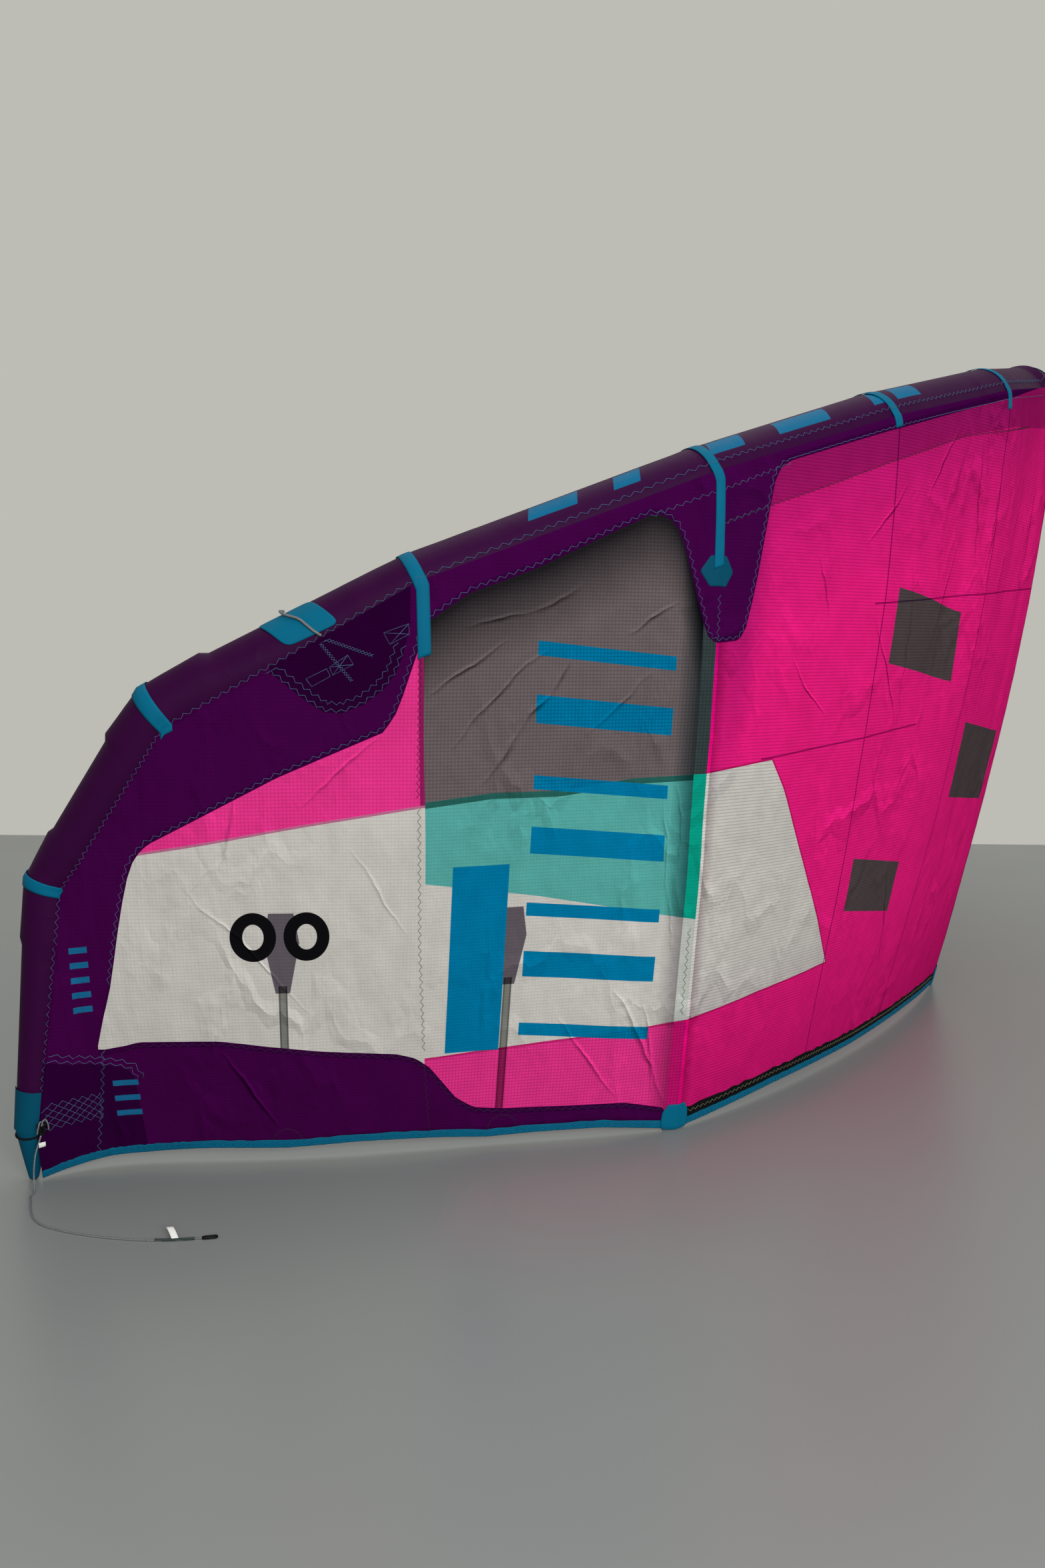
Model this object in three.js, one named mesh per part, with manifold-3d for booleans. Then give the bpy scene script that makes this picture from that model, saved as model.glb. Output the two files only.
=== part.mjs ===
// A kitesurfing kite with an inflated leading edge and three struts, standing on its trailing edge.
// Lengths are millimetres and angles degrees. +Z is up, the middle of the kite bulges towards -Y,
// and both wing tips point to +Y. The left half is at -X, and the right half is its mirror image.
import * as THREE from "three";
import { mergeVertices } from "three/addons/utils/BufferGeometryUtils.js";
import Module from "manifold-3d";

const { degToRad, lerp, clamp, smoothstep } = THREE.MathUtils;

// ---- driving dimensions ----
const planRadius = 2100; // the feet of the kite stand on this circle, seen from above
const planCentreY = 1389; // places the circle so that the kite's box is centred on the origin
const seamGap = 0.3; // between pieces that are sewn together
const joinClear = 0.7; // between the tube's flat facets and the canopy sewn round it
const clothThickness = 2;
const tubeSides = 20;
const strutSides = 8;
const canopyCells = [5, 5, 5, 5, 4, 3, 3]; // canopy cells across each stretch between joints

// One row for each leading edge joint, from the middle of the kite to the wing tip.
// angle: round the plan circle; height and lean: the tube's centre above the floor and outside the circle;
// tube: its radius; sewn: angle round the tube where the canopy leaves it, from its outer side; wrap: how far
// the canopy lies on the tube past that; trail: angle where the joint's canopy line meets the trailing edge;
// camber: how far the canopy's belly stands out.
const joints = [
  { angle: 0, height: 1757, lean: 165, tube: 78, sewn: 0, wrap: 15, trail: 0, camber: 30 },
  { angle: 14.7, height: 1652, lean: 109, tube: 76, sewn: 0, wrap: 15, trail: 16.5, camber: 20 },
  { angle: 28, height: 1528, lean: 62, tube: 74, sewn: 0, wrap: 15, trail: 28, camber: 12 },
  { angle: 41, height: 1375, lean: 30, tube: 71, sewn: 0, wrap: 15, trail: 40.9, camber: 12 },
  { angle: 57, height: 1154, lean: 9, tube: 65, sewn: 0, wrap: 10, trail: 56.1, camber: 6 },
  { angle: 70, height: 919, lean: 0, tube: 56, sewn: -36, wrap: 6, trail: 69.5, camber: 3 },
  { angle: 76, height: 594, lean: 0, tube: 44, sewn: -54, wrap: 6, trail: 74, camber: 5 },
  { angle: 77.5, height: 107, lean: 0, tube: 30, sewn: -54, wrap: 6, trail: 77, camber: 9 },
];
const middleJoint = 0;
const strutJoint = 3;
const tipJoint = joints.length - 1;

// The trailing edge hangs a little above the floor between the feet, and is drawn in there. The powers say
// how squarely each end of a scallop comes down to its foot.
const scallops = [
  { from: 0, to: 40.9, inset: 57, lift: 22, powers: [2, 2] },
  { from: 40.9, to: 77, inset: 104, lift: 22, powers: [2, 7] },
];
const footLift = 4; // the trailing edge above the floor at a foot

// Main folds in the canopy, from one point to another; a negative depth is a trough.
const folds = [
  { fromAngle: 7, fromHeight: 1560, toAngle: 9, toHeight: 1120, depth: -9, width: 90 },
  { fromAngle: 17, fromHeight: 1480, toAngle: 21, toHeight: 980, depth: -10, width: 100 },
  { fromAngle: 24, fromHeight: 1180, toAngle: 18, toHeight: 620, depth: 9, width: 100 },
  { fromAngle: 35, fromHeight: 1160, toAngle: 36, toHeight: 760, depth: 8, width: 90 },
  { fromAngle: 48, fromHeight: 1080, toAngle: 57, toHeight: 840, depth: -9, width: 100 },
  { fromAngle: 44, fromHeight: 560, toAngle: 46, toHeight: 160, depth: 8, width: 100 },
  { fromAngle: 60, fromHeight: 900, toAngle: 66, toHeight: 520, depth: -9, width: 100 },
  { fromAngle: 72, fromHeight: 330, toAngle: 67, toHeight: 640, depth: 8, width: 100 },
];

const strap = { width: 24, thickness: 1.5, clear: 1.3, backAngle: 190 };
const strapDrops = [206, 25, 5, 206, 127, 12, 6]; // length down the canopy at each joint, middle first
const strutPad = { length: 60, halfWidth: 42, tipHalfWidth: 21 }; // octagon at the foot of a strut's strap
const binding = { height: 18, thickness: 3 };
const blackTape = { height: 15 };
const trailingPad = { height: 58, width: 56, thickness: 2.5, soleDepth: 30, soleThickness: 3, clear: 0.9 };

// Radius of a strut along its length, as shares of the canopy line from leading to trailing edge.
const strutProfile = [
  { share: 0, radius: 45 },
  { share: 0.2, radius: 45 },
  { share: 0.55, radius: 40 },
  { share: 0.85, radius: 26 },
  { share: 0.97, radius: 15 },
];
const strutRoom = 1.05; // the canopy's faces fall away from the strut as from a ridge

// Each batten pocket lies inside the canopy: a paddle at its top, a strip, and a half-round foot.
const battens = [
  { joint: 4.6, top: 520, clear: 1.4 },
  { joint: 3.75, top: 520, clear: 1.35 },
];
const battenOutline = [
  { share: 0, halfWidth: 18 },
  { share: 0.08, halfWidth: 32 },
  { share: 0.16, halfWidth: 33 },
  { share: 0.34, halfWidth: 13 },
  { share: 0.38, halfWidth: 8 },
  { share: 0.86, halfWidth: 8 },
  { share: 0.9, halfWidth: 24 },
  { share: 1, halfWidth: 34 },
];
const bridlePatch = { from: 4.36, to: 4.56, skew: -0.07, topAngle: 80, lowAngle: 4 };
const tipCap = { topRadius: 29.6, footRadius: 8 };
const tipKnot = { radius: 9, height: 26, angle: -50, clear: 4.3 };

// Free line at the left wing tip: down from its knot and along the floor.
const line = { diameter: 3, endLength: 27, endDiameter: 5 };
const lineRoute = [
  [-2071.6, 894.6, 104.1],
  [-2076, 896, 92],
  [-2082, 899.5, 72],
  [-2085.5, 902, 46],
  [-2088.5, 901, 22],
  [-2094, 896, 6],
  [-2103, 890.5, 1.8],
  [-2118, 885, 1.8],
  [-2131, 873, 1.8],
  [-2147, 860, 1.8],
  [-2163, 845, 1.8],
  [-2178, 829, 1.8],
  [-2191, 810, 1.8],
  [-2200, 787, 1.8],
  [-2204, 759, 1.8],
  [-2205, 727, 1.8],
  [-2203, 693, 1.8],
  [-2199, 657, 1.8],
  [-2192, 619, 1.8],
  [-2182, 580, 1.8],
  [-2168, 542, 1.8],
  [-2152, 509, 1.8],
  [-2141, 491, 1.8],
].map(([x, y, z]) => new THREE.Vector3(x, y, z));

const up = new THREE.Vector3(0, 0, 1);

// ---- the kite's surface ----

/** Reads a column of the joint table at a place between two joints; the left half has joint >= 0. */
function atJoint(joint, column) {
  const place = clamp(Math.abs(joint), 0, tipJoint);
  const low = Math.min(Math.floor(place), tipJoint - 1);
  return lerp(joints[low][column], joints[low + 1][column], place - low);
}

/** A point of the left half at an angle round the plan circle. */
function planPoint(angle, radius, height) {
  const turn = degToRad(angle);
  return new THREE.Vector3(-radius * Math.sin(turn), planCentreY - radius * Math.cos(turn), height);
}

/** Mirrors a point of the left half where the joint number is negative. */
function onSide(joint, point) {
  return joint < 0 ? point.setX(-point.x) : point;
}

const jointCentres = joints.map((row) => planPoint(row.angle, planRadius + row.lean, row.height));

/** Centre of the leading edge tube, whose stretches between joints are straight. */
function tubeCentre(joint) {
  const place = clamp(Math.abs(joint), 0, tipJoint);
  const low = Math.min(Math.floor(place), tipJoint - 1);
  const centre = jointCentres[low].clone().lerp(jointCentres[low + 1], place - low);
  return onSide(joint, centre);
}

/** Direction of one straight stretch of the tube, towards the left tip. */
function stretchAxis(stretch) {
  if (stretch < 0) return stretchAxis(-stretch - 1).multiply(new THREE.Vector3(1, -1, -1));
  return jointCentres[stretch + 1].clone().sub(jointCentres[stretch]).normalize();
}

/** Axis, outward and upward directions of a tube section, turned to halfway at a joint. */
function tubeFrame(joint) {
  const reach = 0.25;
  const axis = tubeCentre(joint + reach).sub(tubeCentre(joint - reach)).normalize();
  const outward = onSide(joint, planPoint(atJoint(joint, "angle"), 1, 0)).setZ(0);
  outward.y -= planCentreY;
  outward.addScaledVector(axis, -outward.dot(axis)).normalize();
  const upward = new THREE.Vector3().crossVectors(axis, outward).normalize();
  return { axis, outward, upward };
}

/** A point on the tube: angle 0 faces outwards, 90 is its front, away from the canopy. */
function tubePoint(joint, angle, clear) {
  const { outward, upward } = tubeFrame(joint);
  const turn = degToRad(angle);
  const direction = outward.multiplyScalar(Math.cos(turn)).addScaledVector(upward, Math.sin(turn));
  const near = [Math.floor(joint - 0.24), Math.floor(joint + 0.24)];
  const reaches = near.map((stretch) => {
    const along = direction.dot(stretchAxis(clamp(stretch, -tipJoint, tipJoint - 1)));
    return atJoint(joint, "tube") / Math.sqrt(1 - along * along);
  });
  return tubeCentre(joint).addScaledVector(direction, Math.max(...reaches) + clear);
}

/** The trailing edge: on the plan circle at its feet, drawn in and lifted between them. */
function trailingPoint(joint) {
  const angle = atJoint(joint, "trail");
  const row = scallops.find((scallop) => angle <= scallop.to);
  const share = (2 * angle - row.from - row.to) / (row.to - row.from);
  const swell = 1 - Math.abs(share) ** row.powers[share < 0 ? 0 : 1];
  return onSide(joint, planPoint(angle, planRadius - row.inset * swell, footLift + row.lift * swell));
}

/** Three control points of a canopy line, from the tube to the trailing edge. */
function canopyLine(joint) {
  const start = tubePoint(joint, atJoint(joint, "sewn"), joinClear);
  const end = trailingPoint(joint);
  const side = joint < 0 ? -1 : 1;
  const dropShare = 0.29; // the line leaves the tube straight down for this share of its height
  const startAngle = Math.atan2(-side * start.x, planCentreY - start.y);
  const endAngle = Math.atan2(-side * end.x, planCentreY - end.y);
  const radius = Math.hypot(start.x, planCentreY - start.y) + atJoint(joint, "camber");
  const angle = THREE.MathUtils.radToDeg(lerp(startAngle, endAngle, dropShare));
  const knee = onSide(joint, planPoint(angle, radius, lerp(start.z, end.z, dropShare)));
  return { start, knee, end };
}

/** Sum of the folds at a point of the canopy. */
function foldDepth(point) {
  const angle = THREE.MathUtils.radToDeg(Math.atan2(Math.abs(point.x), planCentreY - point.y));
  const arc = degToRad(1) * planRadius;
  const here = new THREE.Vector2(angle * arc, point.z);
  let depth = 0;
  for (const fold of folds) {
    const from = new THREE.Vector2(fold.fromAngle * arc, fold.fromHeight);
    const along = new THREE.Vector2(fold.toAngle * arc, fold.toHeight).sub(from);
    const share = clamp(here.clone().sub(from).dot(along) / along.lengthSq(), 0, 1);
    const distance = here.distanceTo(from.addScaledVector(along, share));
    depth += fold.depth * Math.exp(-((distance / fold.width) ** 2));
  }
  return depth;
}

/** Inner face of the canopy: share -1..0 is sewn round the tube, 0..1 runs to the trailing edge. */
function canopyBase(joint, share) {
  if (share < 0) return tubePoint(joint, atJoint(joint, "sewn") - share * atJoint(joint, "wrap"), joinClear);
  const { start, knee, end } = canopyLine(joint);
  const left = 1 - share;
  const point = start.multiplyScalar(left * left);
  return point.addScaledVector(knee, 2 * share * left).addScaledVector(end, share * share);
}

/** Outward normal of the canopy, the same for both pieces at a seam. */
function canopyNormal(joint, share) {
  const step = 0.02;
  const across = canopyBase(joint + step, share).sub(canopyBase(joint - step, share));
  const down = canopyBase(joint, share + step).sub(canopyBase(joint, share - step));
  return new THREE.Vector3().crossVectors(across, down).normalize();
}

/** A point on the canopy, with its folds, a distance outside the inner face. */
function canopyPoint(joint, share, outside = 0) {
  const point = canopyBase(joint, share);
  const fold = foldDepth(point) * smoothstep(share, 0.02, 0.12);
  return point.addScaledVector(canopyNormal(joint, share), outside + fold);
}

/** The share of a canopy line that is left above its last few millimetres. */
function shareAbove(joint, distance) {
  const { knee, end } = canopyLine(joint);
  return 1 - distance / (2 * end.distanceTo(knee));
}

/** The share of a canopy line at a distance from the tube, by halving. */
function shareBelow(joint, distance) {
  const start = canopyBase(joint, 0);
  let [low, high] = [0, 1];
  for (let step = 0; step < 30; step += 1) {
    const middle = (low + high) / 2;
    if (canopyBase(joint, middle).distanceTo(start) < distance) low = middle;
    else high = middle;
  }
  return low;
}

/** The share of a canopy line at a height above the floor, by halving. */
function shareAtHeight(joint, height) {
  let [high, low] = [0, 1];
  for (let step = 0; step < 30; step += 1) {
    const middle = (high + low) / 2;
    if (canopyBase(joint, middle).z > height) high = middle;
    else low = middle;
  }
  return low;
}

/** Width in millimetres of one joint's step along the canopy, near a share of its height. */
function stepWidth(joint, share) {
  const step = 0.05;
  return canopyBase(joint, share).distanceTo(canopyBase(joint + step, share)) / Math.abs(step);
}

// ---- making closed solids ----

/** Turns a closed mesh right side out. */
function facingOut(geometry) {
  const position = geometry.getAttribute("position");
  const index = geometry.getIndex();
  const corner = [0, 1, 2].map(() => new THREE.Vector3());
  let volume = 0;
  for (let face = 0; face < index.count; face += 3) {
    corner.forEach((vertex, k) => vertex.fromBufferAttribute(position, index.getX(face + k)));
    volume += corner[0].dot(corner[1].clone().cross(corner[2]));
  }
  if (volume < 0) index.array.reverse();
  return geometry;
}

function closedGeometry(points, faces) {
  const geometry = new THREE.BufferGeometry().setFromPoints(points);
  geometry.setIndex(faces);
  return facingOut(geometry);
}

/** A sheet between two grids of points of the same size, with its four edges closed. */
function sheetSolid(front, back) {
  const rows = front.length;
  const columns = front[0].length;
  const points = [...front.flat(), ...back.flat()];
  const backStart = rows * columns;
  const faces = [];
  const quad = (a, b, c, d) => faces.push(a, b, c, a, c, d);
  for (let row = 0; row < rows - 1; row += 1) {
    for (let column = 0; column < columns - 1; column += 1) {
      const a = row * columns + column;
      quad(a, a + 1, a + columns + 1, a + columns);
      quad(backStart + a, backStart + a + columns, backStart + a + columns + 1, backStart + a + 1);
    }
  }
  const rim = [];
  for (let column = 0; column < columns - 1; column += 1) rim.push(column);
  for (let row = 0; row < rows - 1; row += 1) rim.push(row * columns + columns - 1);
  for (let column = columns - 1; column > 0; column -= 1) rim.push((rows - 1) * columns + column);
  for (let row = rows - 1; row > 0; row -= 1) rim.push(row * columns);
  rim.forEach((here, k) => {
    const next = rim[(k + 1) % rim.length];
    quad(next, here, backStart + here, backStart + next);
  });
  return closedGeometry(points, faces);
}

/** A tube through rings of points, with flat ends. */
function loftSolid(rings) {
  const sides = rings[0].length;
  const points = rings.flat();
  const faces = [];
  for (let ring = 0; ring < rings.length - 1; ring += 1) {
    for (let side = 0; side < sides; side += 1) {
      const [a, b] = [ring * sides + side, ring * sides + ((side + 1) % sides)];
      faces.push(a, b, b + sides, a, b + sides, a + sides);
    }
  }
  const last = (rings.length - 1) * sides;
  for (let side = 1; side < sides - 1; side += 1) {
    faces.push(0, side + 1, side, last, last + side, last + side + 1);
  }
  return closedGeometry(points, faces);
}

/** A sheet on the canopy over a grid of joints and shares, between two distances from its inner face. */
function canopySheet(rows, inner, outer) {
  const grid = (outside) => rows.map((row) => row.map(([joint, share]) => canopyPoint(joint, share, outside)));
  return sheetSolid(grid(outer), grid(inner));
}

function ring(sides, pointAt) {
  return Array.from({ length: sides }, (_, side) => pointAt((360 * side) / sides));
}

/** The other half's copy of a left-hand piece. */
function mirrored(geometry) {
  const copy = geometry.clone().scale(-1, 1, 1);
  copy.getIndex().array.reverse();
  return copy;
}

const wasm = await Module();
wasm.setup();

function toManifold(geometry) {
  const bare = geometry.clone();
  for (const name of Object.keys(bare.attributes)) {
    if (name !== "position") bare.deleteAttribute(name);
  }
  const merged = mergeVertices(bare, 1e-3);
  return new wasm.Manifold(
    new wasm.Mesh({
      numProp: 3,
      vertProperties: new Float32Array(merged.getAttribute("position").array),
      triVerts: new Uint32Array(merged.getIndex().array),
    }),
  );
}

function fromManifold(solid) {
  const mesh = solid.getMesh();
  const geometry = new THREE.BufferGeometry();
  geometry.setAttribute("position", new THREE.BufferAttribute(mesh.vertProperties, 3));
  geometry.setIndex(new THREE.BufferAttribute(mesh.triVerts, 1));
  return geometry;
}

// ---- pieces ----

/** One straight tapered stretch of the leading edge tube, mitred to its neighbours at both joints. */
function tubeStretch(stretch, extraRadius, setBack) {
  const axis = stretchAxis(stretch);
  const { outward } = tubeFrame(stretch + 0.5);
  const upward = new THREE.Vector3().crossVectors(axis, outward).normalize();
  const ends = [
    { joint: stretch, inward: 1 },
    { joint: stretch + 1, inward: -1 },
  ];
  const rings = ends.map(({ joint, inward }) => {
    const cut = joint === tipJoint ? up : axis.clone().add(stretchAxis(inward > 0 ? joint - 1 : joint));
    const centre = tubeCentre(joint).addScaledVector(axis, inward * setBack);
    const radius = atJoint(joint, "tube") + extraRadius;
    return ring(tubeSides, (degrees) => {
      const turn = degToRad(degrees);
      const spoke = outward.clone().multiplyScalar(radius * Math.cos(turn));
      spoke.addScaledVector(upward, radius * Math.sin(turn));
      const slide = -spoke.dot(cut) / axis.dot(cut);
      return centre.clone().add(spoke).addScaledVector(axis, slide);
    });
  });
  return loftSolid(rings);
}

/** A canopy panel between two joints, cut off above the tapes along its trailing edge. */
function canopyPanel(fromJoint, toJoint, tapeHeight) {
  const shares = [-1, -0.5, 0, 0.08, 0.17, 0.27, 0.38, 0.5, 0.62, 0.75, 0.88];
  const rows = [...shares, "cut"].map((share) =>
    spanJoints(fromJoint, toJoint).map((joint) => {
      const cutShare = shareAbove(joint, tapeHeight + seamGap);
      return [joint, share === "cut" ? cutShare : share];
    }),
  );
  return canopySheet(rows, 0, clothThickness);
}

/** Places across a panel, a little inside its two seams. */
function spanJoints(fromJoint, toJoint) {
  const places = [];
  for (let stretch = fromJoint; stretch < toJoint; stretch += 1) {
    const cells = canopyCells[stretch];
    for (let cell = 0; cell < cells; cell += 1) places.push(stretch + cell / cells);
  }
  const inset = seamGap / 2 / 450; // half a gap, in joint steps of about 450 mm
  places[0] += inset;
  places.push(toJoint - inset);
  return places;
}

/** A tape along the trailing edge between two distances above it. */
function edgeTape(fromJoint, toJoint, low, high, inner, outer) {
  const rows = [high, low].map((distance) =>
    spanJoints(fromJoint, toJoint).map((joint) => [joint, shareAbove(joint, distance)]),
  );
  return canopySheet(rows, inner, outer);
}

/** A reinforcing strap round a joint, which runs down the canopy and may end in an octagon. */
function jointStrap(joint) {
  const drop = strapDrops[joint];
  const { wrap, sewn } = joints[joint];
  const onCanopy = clothThickness + strap.clear;
  const rows = [];
  const facet = 360 / tubeSides;
  rows.push({ angle: strap.backAngle, clear: strap.clear });
  for (let angle = 180; angle > sewn + wrap + facet; angle -= facet) rows.push({ angle, clear: strap.clear });
  rows.push({ angle: sewn + wrap + 7, clear: strap.clear });
  rows.push({ angle: sewn + wrap * 1.06, clear: onCanopy }, { share: -0.5 }, { share: 0 });
  const hasPad = joint === strutJoint || joint === middleJoint;
  const plain = drop - (hasPad ? strutPad.length : 0);
  const steps = Math.ceil(plain / 90);
  for (let step = 1; step <= steps; step += 1) rows.push({ down: (plain * step) / steps });
  if (hasPad) {
    const { length, halfWidth, tipHalfWidth } = strutPad;
    rows.push({ down: plain + 1, halfWidth: tipHalfWidth });
    rows.push({ down: plain + length * 0.35, halfWidth });
    rows.push({ down: plain + length * 0.65, halfWidth });
    rows.push({ down: plain + length, halfWidth: tipHalfWidth });
  }
  const grid = (extra) =>
    rows.map((row) =>
      [-1, 0, 1].map((column) => {
        const halfWidth = row.halfWidth ?? strap.width / 2;
        const share = row.share ?? (row.down === undefined ? 0 : shareBelow(joint, row.down));
        const place = joint + (column * halfWidth) / stepWidth(joint + column * 0.1, share);
        if (row.angle !== undefined) return tubePoint(place, row.angle, row.clear + extra);
        return canopyPoint(place, share, onCanopy + extra);
      }),
    );
  return sheetSolid(grid(strap.thickness), grid(0));
}

/** An inflated strut against the inside of the canopy, hollowed to sit against the leading edge. */
function strut(joint) {
  const shares = [0.03, 0.14, 0.28, 0.44, 0.6, 0.78, 0.97];
  const rings = shares.map((share) => {
    const next = strutProfile.findIndex((row) => row.share >= share);
    const [low, high] = [strutProfile[Math.max(next - 1, 0)], strutProfile[next]];
    const part = high.share === low.share ? 0 : (share - low.share) / (high.share - low.share);
    const radius = lerp(low.radius, high.radius, part);
    const normal = canopyNormal(joint, share);
    const centre = canopyBase(joint, share).addScaledVector(normal, -radius * strutRoom - 0.5);
    const down = canopyBase(joint, share + 0.01).sub(canopyBase(joint, share - 0.01)).normalize();
    const across = new THREE.Vector3().crossVectors(down, normal).normalize();
    return ring(strutSides, (degrees) => {
      const turn = degToRad(degrees);
      const point = centre.clone().addScaledVector(normal, radius * Math.cos(turn));
      return point.addScaledVector(across, radius * Math.sin(turn));
    });
  });
  let solid = toManifold(loftSolid(rings));
  for (const stretch of [joint - 1, joint]) {
    solid = solid.subtract(toManifold(tubeStretch(stretch, 0.5, -30)));
  }
  const pieces = solid.decompose().sort((a, b) => b.volume() - a.volume());
  return fromManifold(pieces[0]);
}

/** The patch folded under the foot of a strut: a leaf outside the canopy and a flat sole. */
function trailingEdgePad(joint) {
  const clear = binding.thickness - 0.5 + trailingPad.clear;
  const place = (offset, share) => joint + offset / stepWidth(joint + Math.sign(offset) * 0.1, share);
  const outline = [
    { above: trailingPad.height, halfWidth: 0.6 },
    { above: trailingPad.height * 0.65, halfWidth: 1 },
    { above: trailingPad.height * 0.3, halfWidth: 1 },
    { above: -2.5, halfWidth: 0.8 },
  ];
  const rows = outline.map(({ above, halfWidth }) => {
    const share = shareAbove(joint, above);
    const reach = (halfWidth * trailingPad.width) / 2;
    return [-reach, 0, reach].map((offset) => [place(offset, share), share]);
  });
  const leaf = toManifold(canopySheet(rows, clear, clear + trailingPad.thickness));
  const foot = trailingPoint(joint);
  const outward = canopyNormal(joint, 1).setZ(0).normalize();
  const sole = new THREE.BoxGeometry(trailingPad.width * 0.8, trailingPad.soleDepth, trailingPad.soleThickness);
  sole.rotateZ(Math.atan2(outward.y, outward.x) + Math.PI / 2);
  const middle = foot.clone().addScaledVector(outward, clear + 1 - trailingPad.soleDepth / 2);
  sole.translate(middle.x, middle.y, trailingPad.soleThickness / 2);
  return fromManifold(leaf.add(toManifold(sole)));
}

/** A batten pocket inside the canopy. */
function battenPocket({ joint, top, clear }) {
  const topShare = shareAtHeight(joint, top);
  const lowShare = shareAbove(joint, binding.height + 3);
  const rows = battenOutline.map(({ share, halfWidth }) => {
    const here = lerp(topShare, lowShare, share);
    const reach = halfWidth / stepWidth(joint, here);
    return [-reach, 0, reach].map((offset) => [joint + offset, here]);
  });
  return canopySheet(rows, -clear - 1.8, -clear);
}

/** The bridle's patch over the front of the leading edge. */
function bridleTubePatch() {
  const places = [bridlePatch.from, (bridlePatch.from + bridlePatch.to) / 2, bridlePatch.to];
  const steps = [0, 0.2, 0.4, 0.6, 0.8, 1];
  const grid = (clear) =>
    steps.map((step) =>
      places.map((place) => {
        const angle = lerp(bridlePatch.topAngle, bridlePatch.lowAngle, step);
        return tubePoint(place + bridlePatch.skew * step, angle, clear);
      }),
    );
  return sheetSolid(grid(0.9 + strap.thickness), grid(0.9));
}

/** The solid foot that closes the leading edge at a wing tip. */
function wingTipCap() {
  const top = joints[tipJoint].height - seamGap / 2;
  const centre = tubeCentre(tipJoint);
  const levels = [
    { z: 0, radius: tipCap.footRadius },
    { z: top, radius: tipCap.topRadius },
  ];
  const rings = levels.map(({ z, radius }) =>
    ring(14, (degrees) => {
      const turn = degToRad(degrees);
      return new THREE.Vector3(centre.x + radius * Math.cos(turn), centre.y + radius * Math.sin(turn), z);
    }),
  );
  return loftSolid(rings);
}

/** The knotted loop on the outside of the wing tip. */
function wingTipKnot() {
  const knot = mergeVertices(new THREE.SphereGeometry(1, 8, 6).deleteAttribute("normal").deleteAttribute("uv"));
  knot.scale(tipKnot.radius, tipKnot.radius, tipKnot.height / 2);
  knot.rotateX(degToRad(8));
  const centre = tubePoint(tipJoint - 0.03, tipKnot.angle, clothThickness + tipKnot.radius + tipKnot.clear);
  return knot.translate(centre.x, centre.y, centre.z);
}

/** The free line's tube, which runs along its hand-set route. */
function freeLine() {
  const section = new THREE.Shape();
  section.absarc(0, 0, line.diameter / 2, 0, 2 * Math.PI);
  const path = new THREE.CatmullRomCurve3(lineRoute);
  return new THREE.ExtrudeGeometry(section, { steps: 40, curveSegments: 4, extrudePath: path });
}

/** The stiff black end sleeved on the free line, past the line's last point. */
function freeLineEnd() {
  const [before, last] = lineRoute.slice(-2);
  const along = last.clone().sub(before).normalize();
  const sleeve = new THREE.CylinderGeometry(line.endDiameter / 2, line.endDiameter / 2, line.endLength, 10);
  sleeve.applyQuaternion(new THREE.Quaternion().setFromUnitVectors(new THREE.Vector3(0, 1, 0), along));
  const centre = last.clone().addScaledVector(along, line.endLength / 2 + seamGap);
  return sleeve.translate(centre.x, centre.y, line.endDiameter / 2 + 0.1);
}

// ---- assembly ----

function cloth(color, roughness) {
  return new THREE.MeshStandardMaterial({ color, roughness, metalness: 0 });
}

const finishes = {
  purpleDacron: cloth(0x3d1250, 0.6),
  pinkRipstop: cloth(0xe0207f, 0.5),
  whiteRipstop: cloth(0xc9c4be, 0.55),
  greyRipstop: cloth(0x6b6562, 0.55),
  tealTape: cloth(0x0a7593, 0.6),
  blackTape: cloth(0x141316, 0.7),
  battenGrey: cloth(0x9a8f9c, 0.6),
  lineGrey: cloth(0x77787a, 0.7),
};

const kite = new THREE.Group();

function addPiece(name, geometry, finish) {
  const piece = new THREE.Mesh(geometry, finishes[finish]);
  piece.name = name;
  kite.add(piece);
}

function addPair(name, geometry, finish) {
  addPiece(`${name}-left`, geometry, finish);
  addPiece(`${name}-right`, mirrored(geometry), finish);
}

for (let stretch = 0; stretch < tipJoint; stretch += 1) {
  addPair(`leadingEdge-${stretch + 1}`, tubeStretch(stretch, 0, seamGap / 2), "purpleDacron");
}
addPiece("jointStrap-middle", jointStrap(middleJoint), "tealTape");
for (let joint = 1; joint < tipJoint; joint += 1) {
  addPair(`jointStrap-${joint}`, jointStrap(joint), "tealTape");
}

const tapeHeight = binding.height + seamGap + blackTape.height;
addPair("canopy-middle", canopyPanel(0, 1, tapeHeight), "pinkRipstop");
addPair("canopy-inner", canopyPanel(1, 2, tapeHeight), "pinkRipstop");
addPair("canopy-strut", canopyPanel(2, 3, tapeHeight), "pinkRipstop");
addPair("canopy-outer", canopyPanel(3, 4, binding.height), "greyRipstop");
addPair("canopy-tip", canopyPanel(4, tipJoint, binding.height), "whiteRipstop");
addPair("edgeBinding", edgeTape(0, tipJoint, 0, binding.height, -0.5, binding.thickness - 0.5), "tealTape");
addPair("blackTape", edgeTape(0, strutJoint, binding.height + seamGap, tapeHeight, 0, clothThickness), "blackTape");

addPiece("strut-middle", strut(middleJoint), "purpleDacron");
addPair("strut-side", strut(strutJoint), "purpleDacron");
addPiece("strutFoot-middle", trailingEdgePad(middleJoint), "tealTape");
addPair("strutFoot-side", trailingEdgePad(strutJoint), "tealTape");

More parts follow.
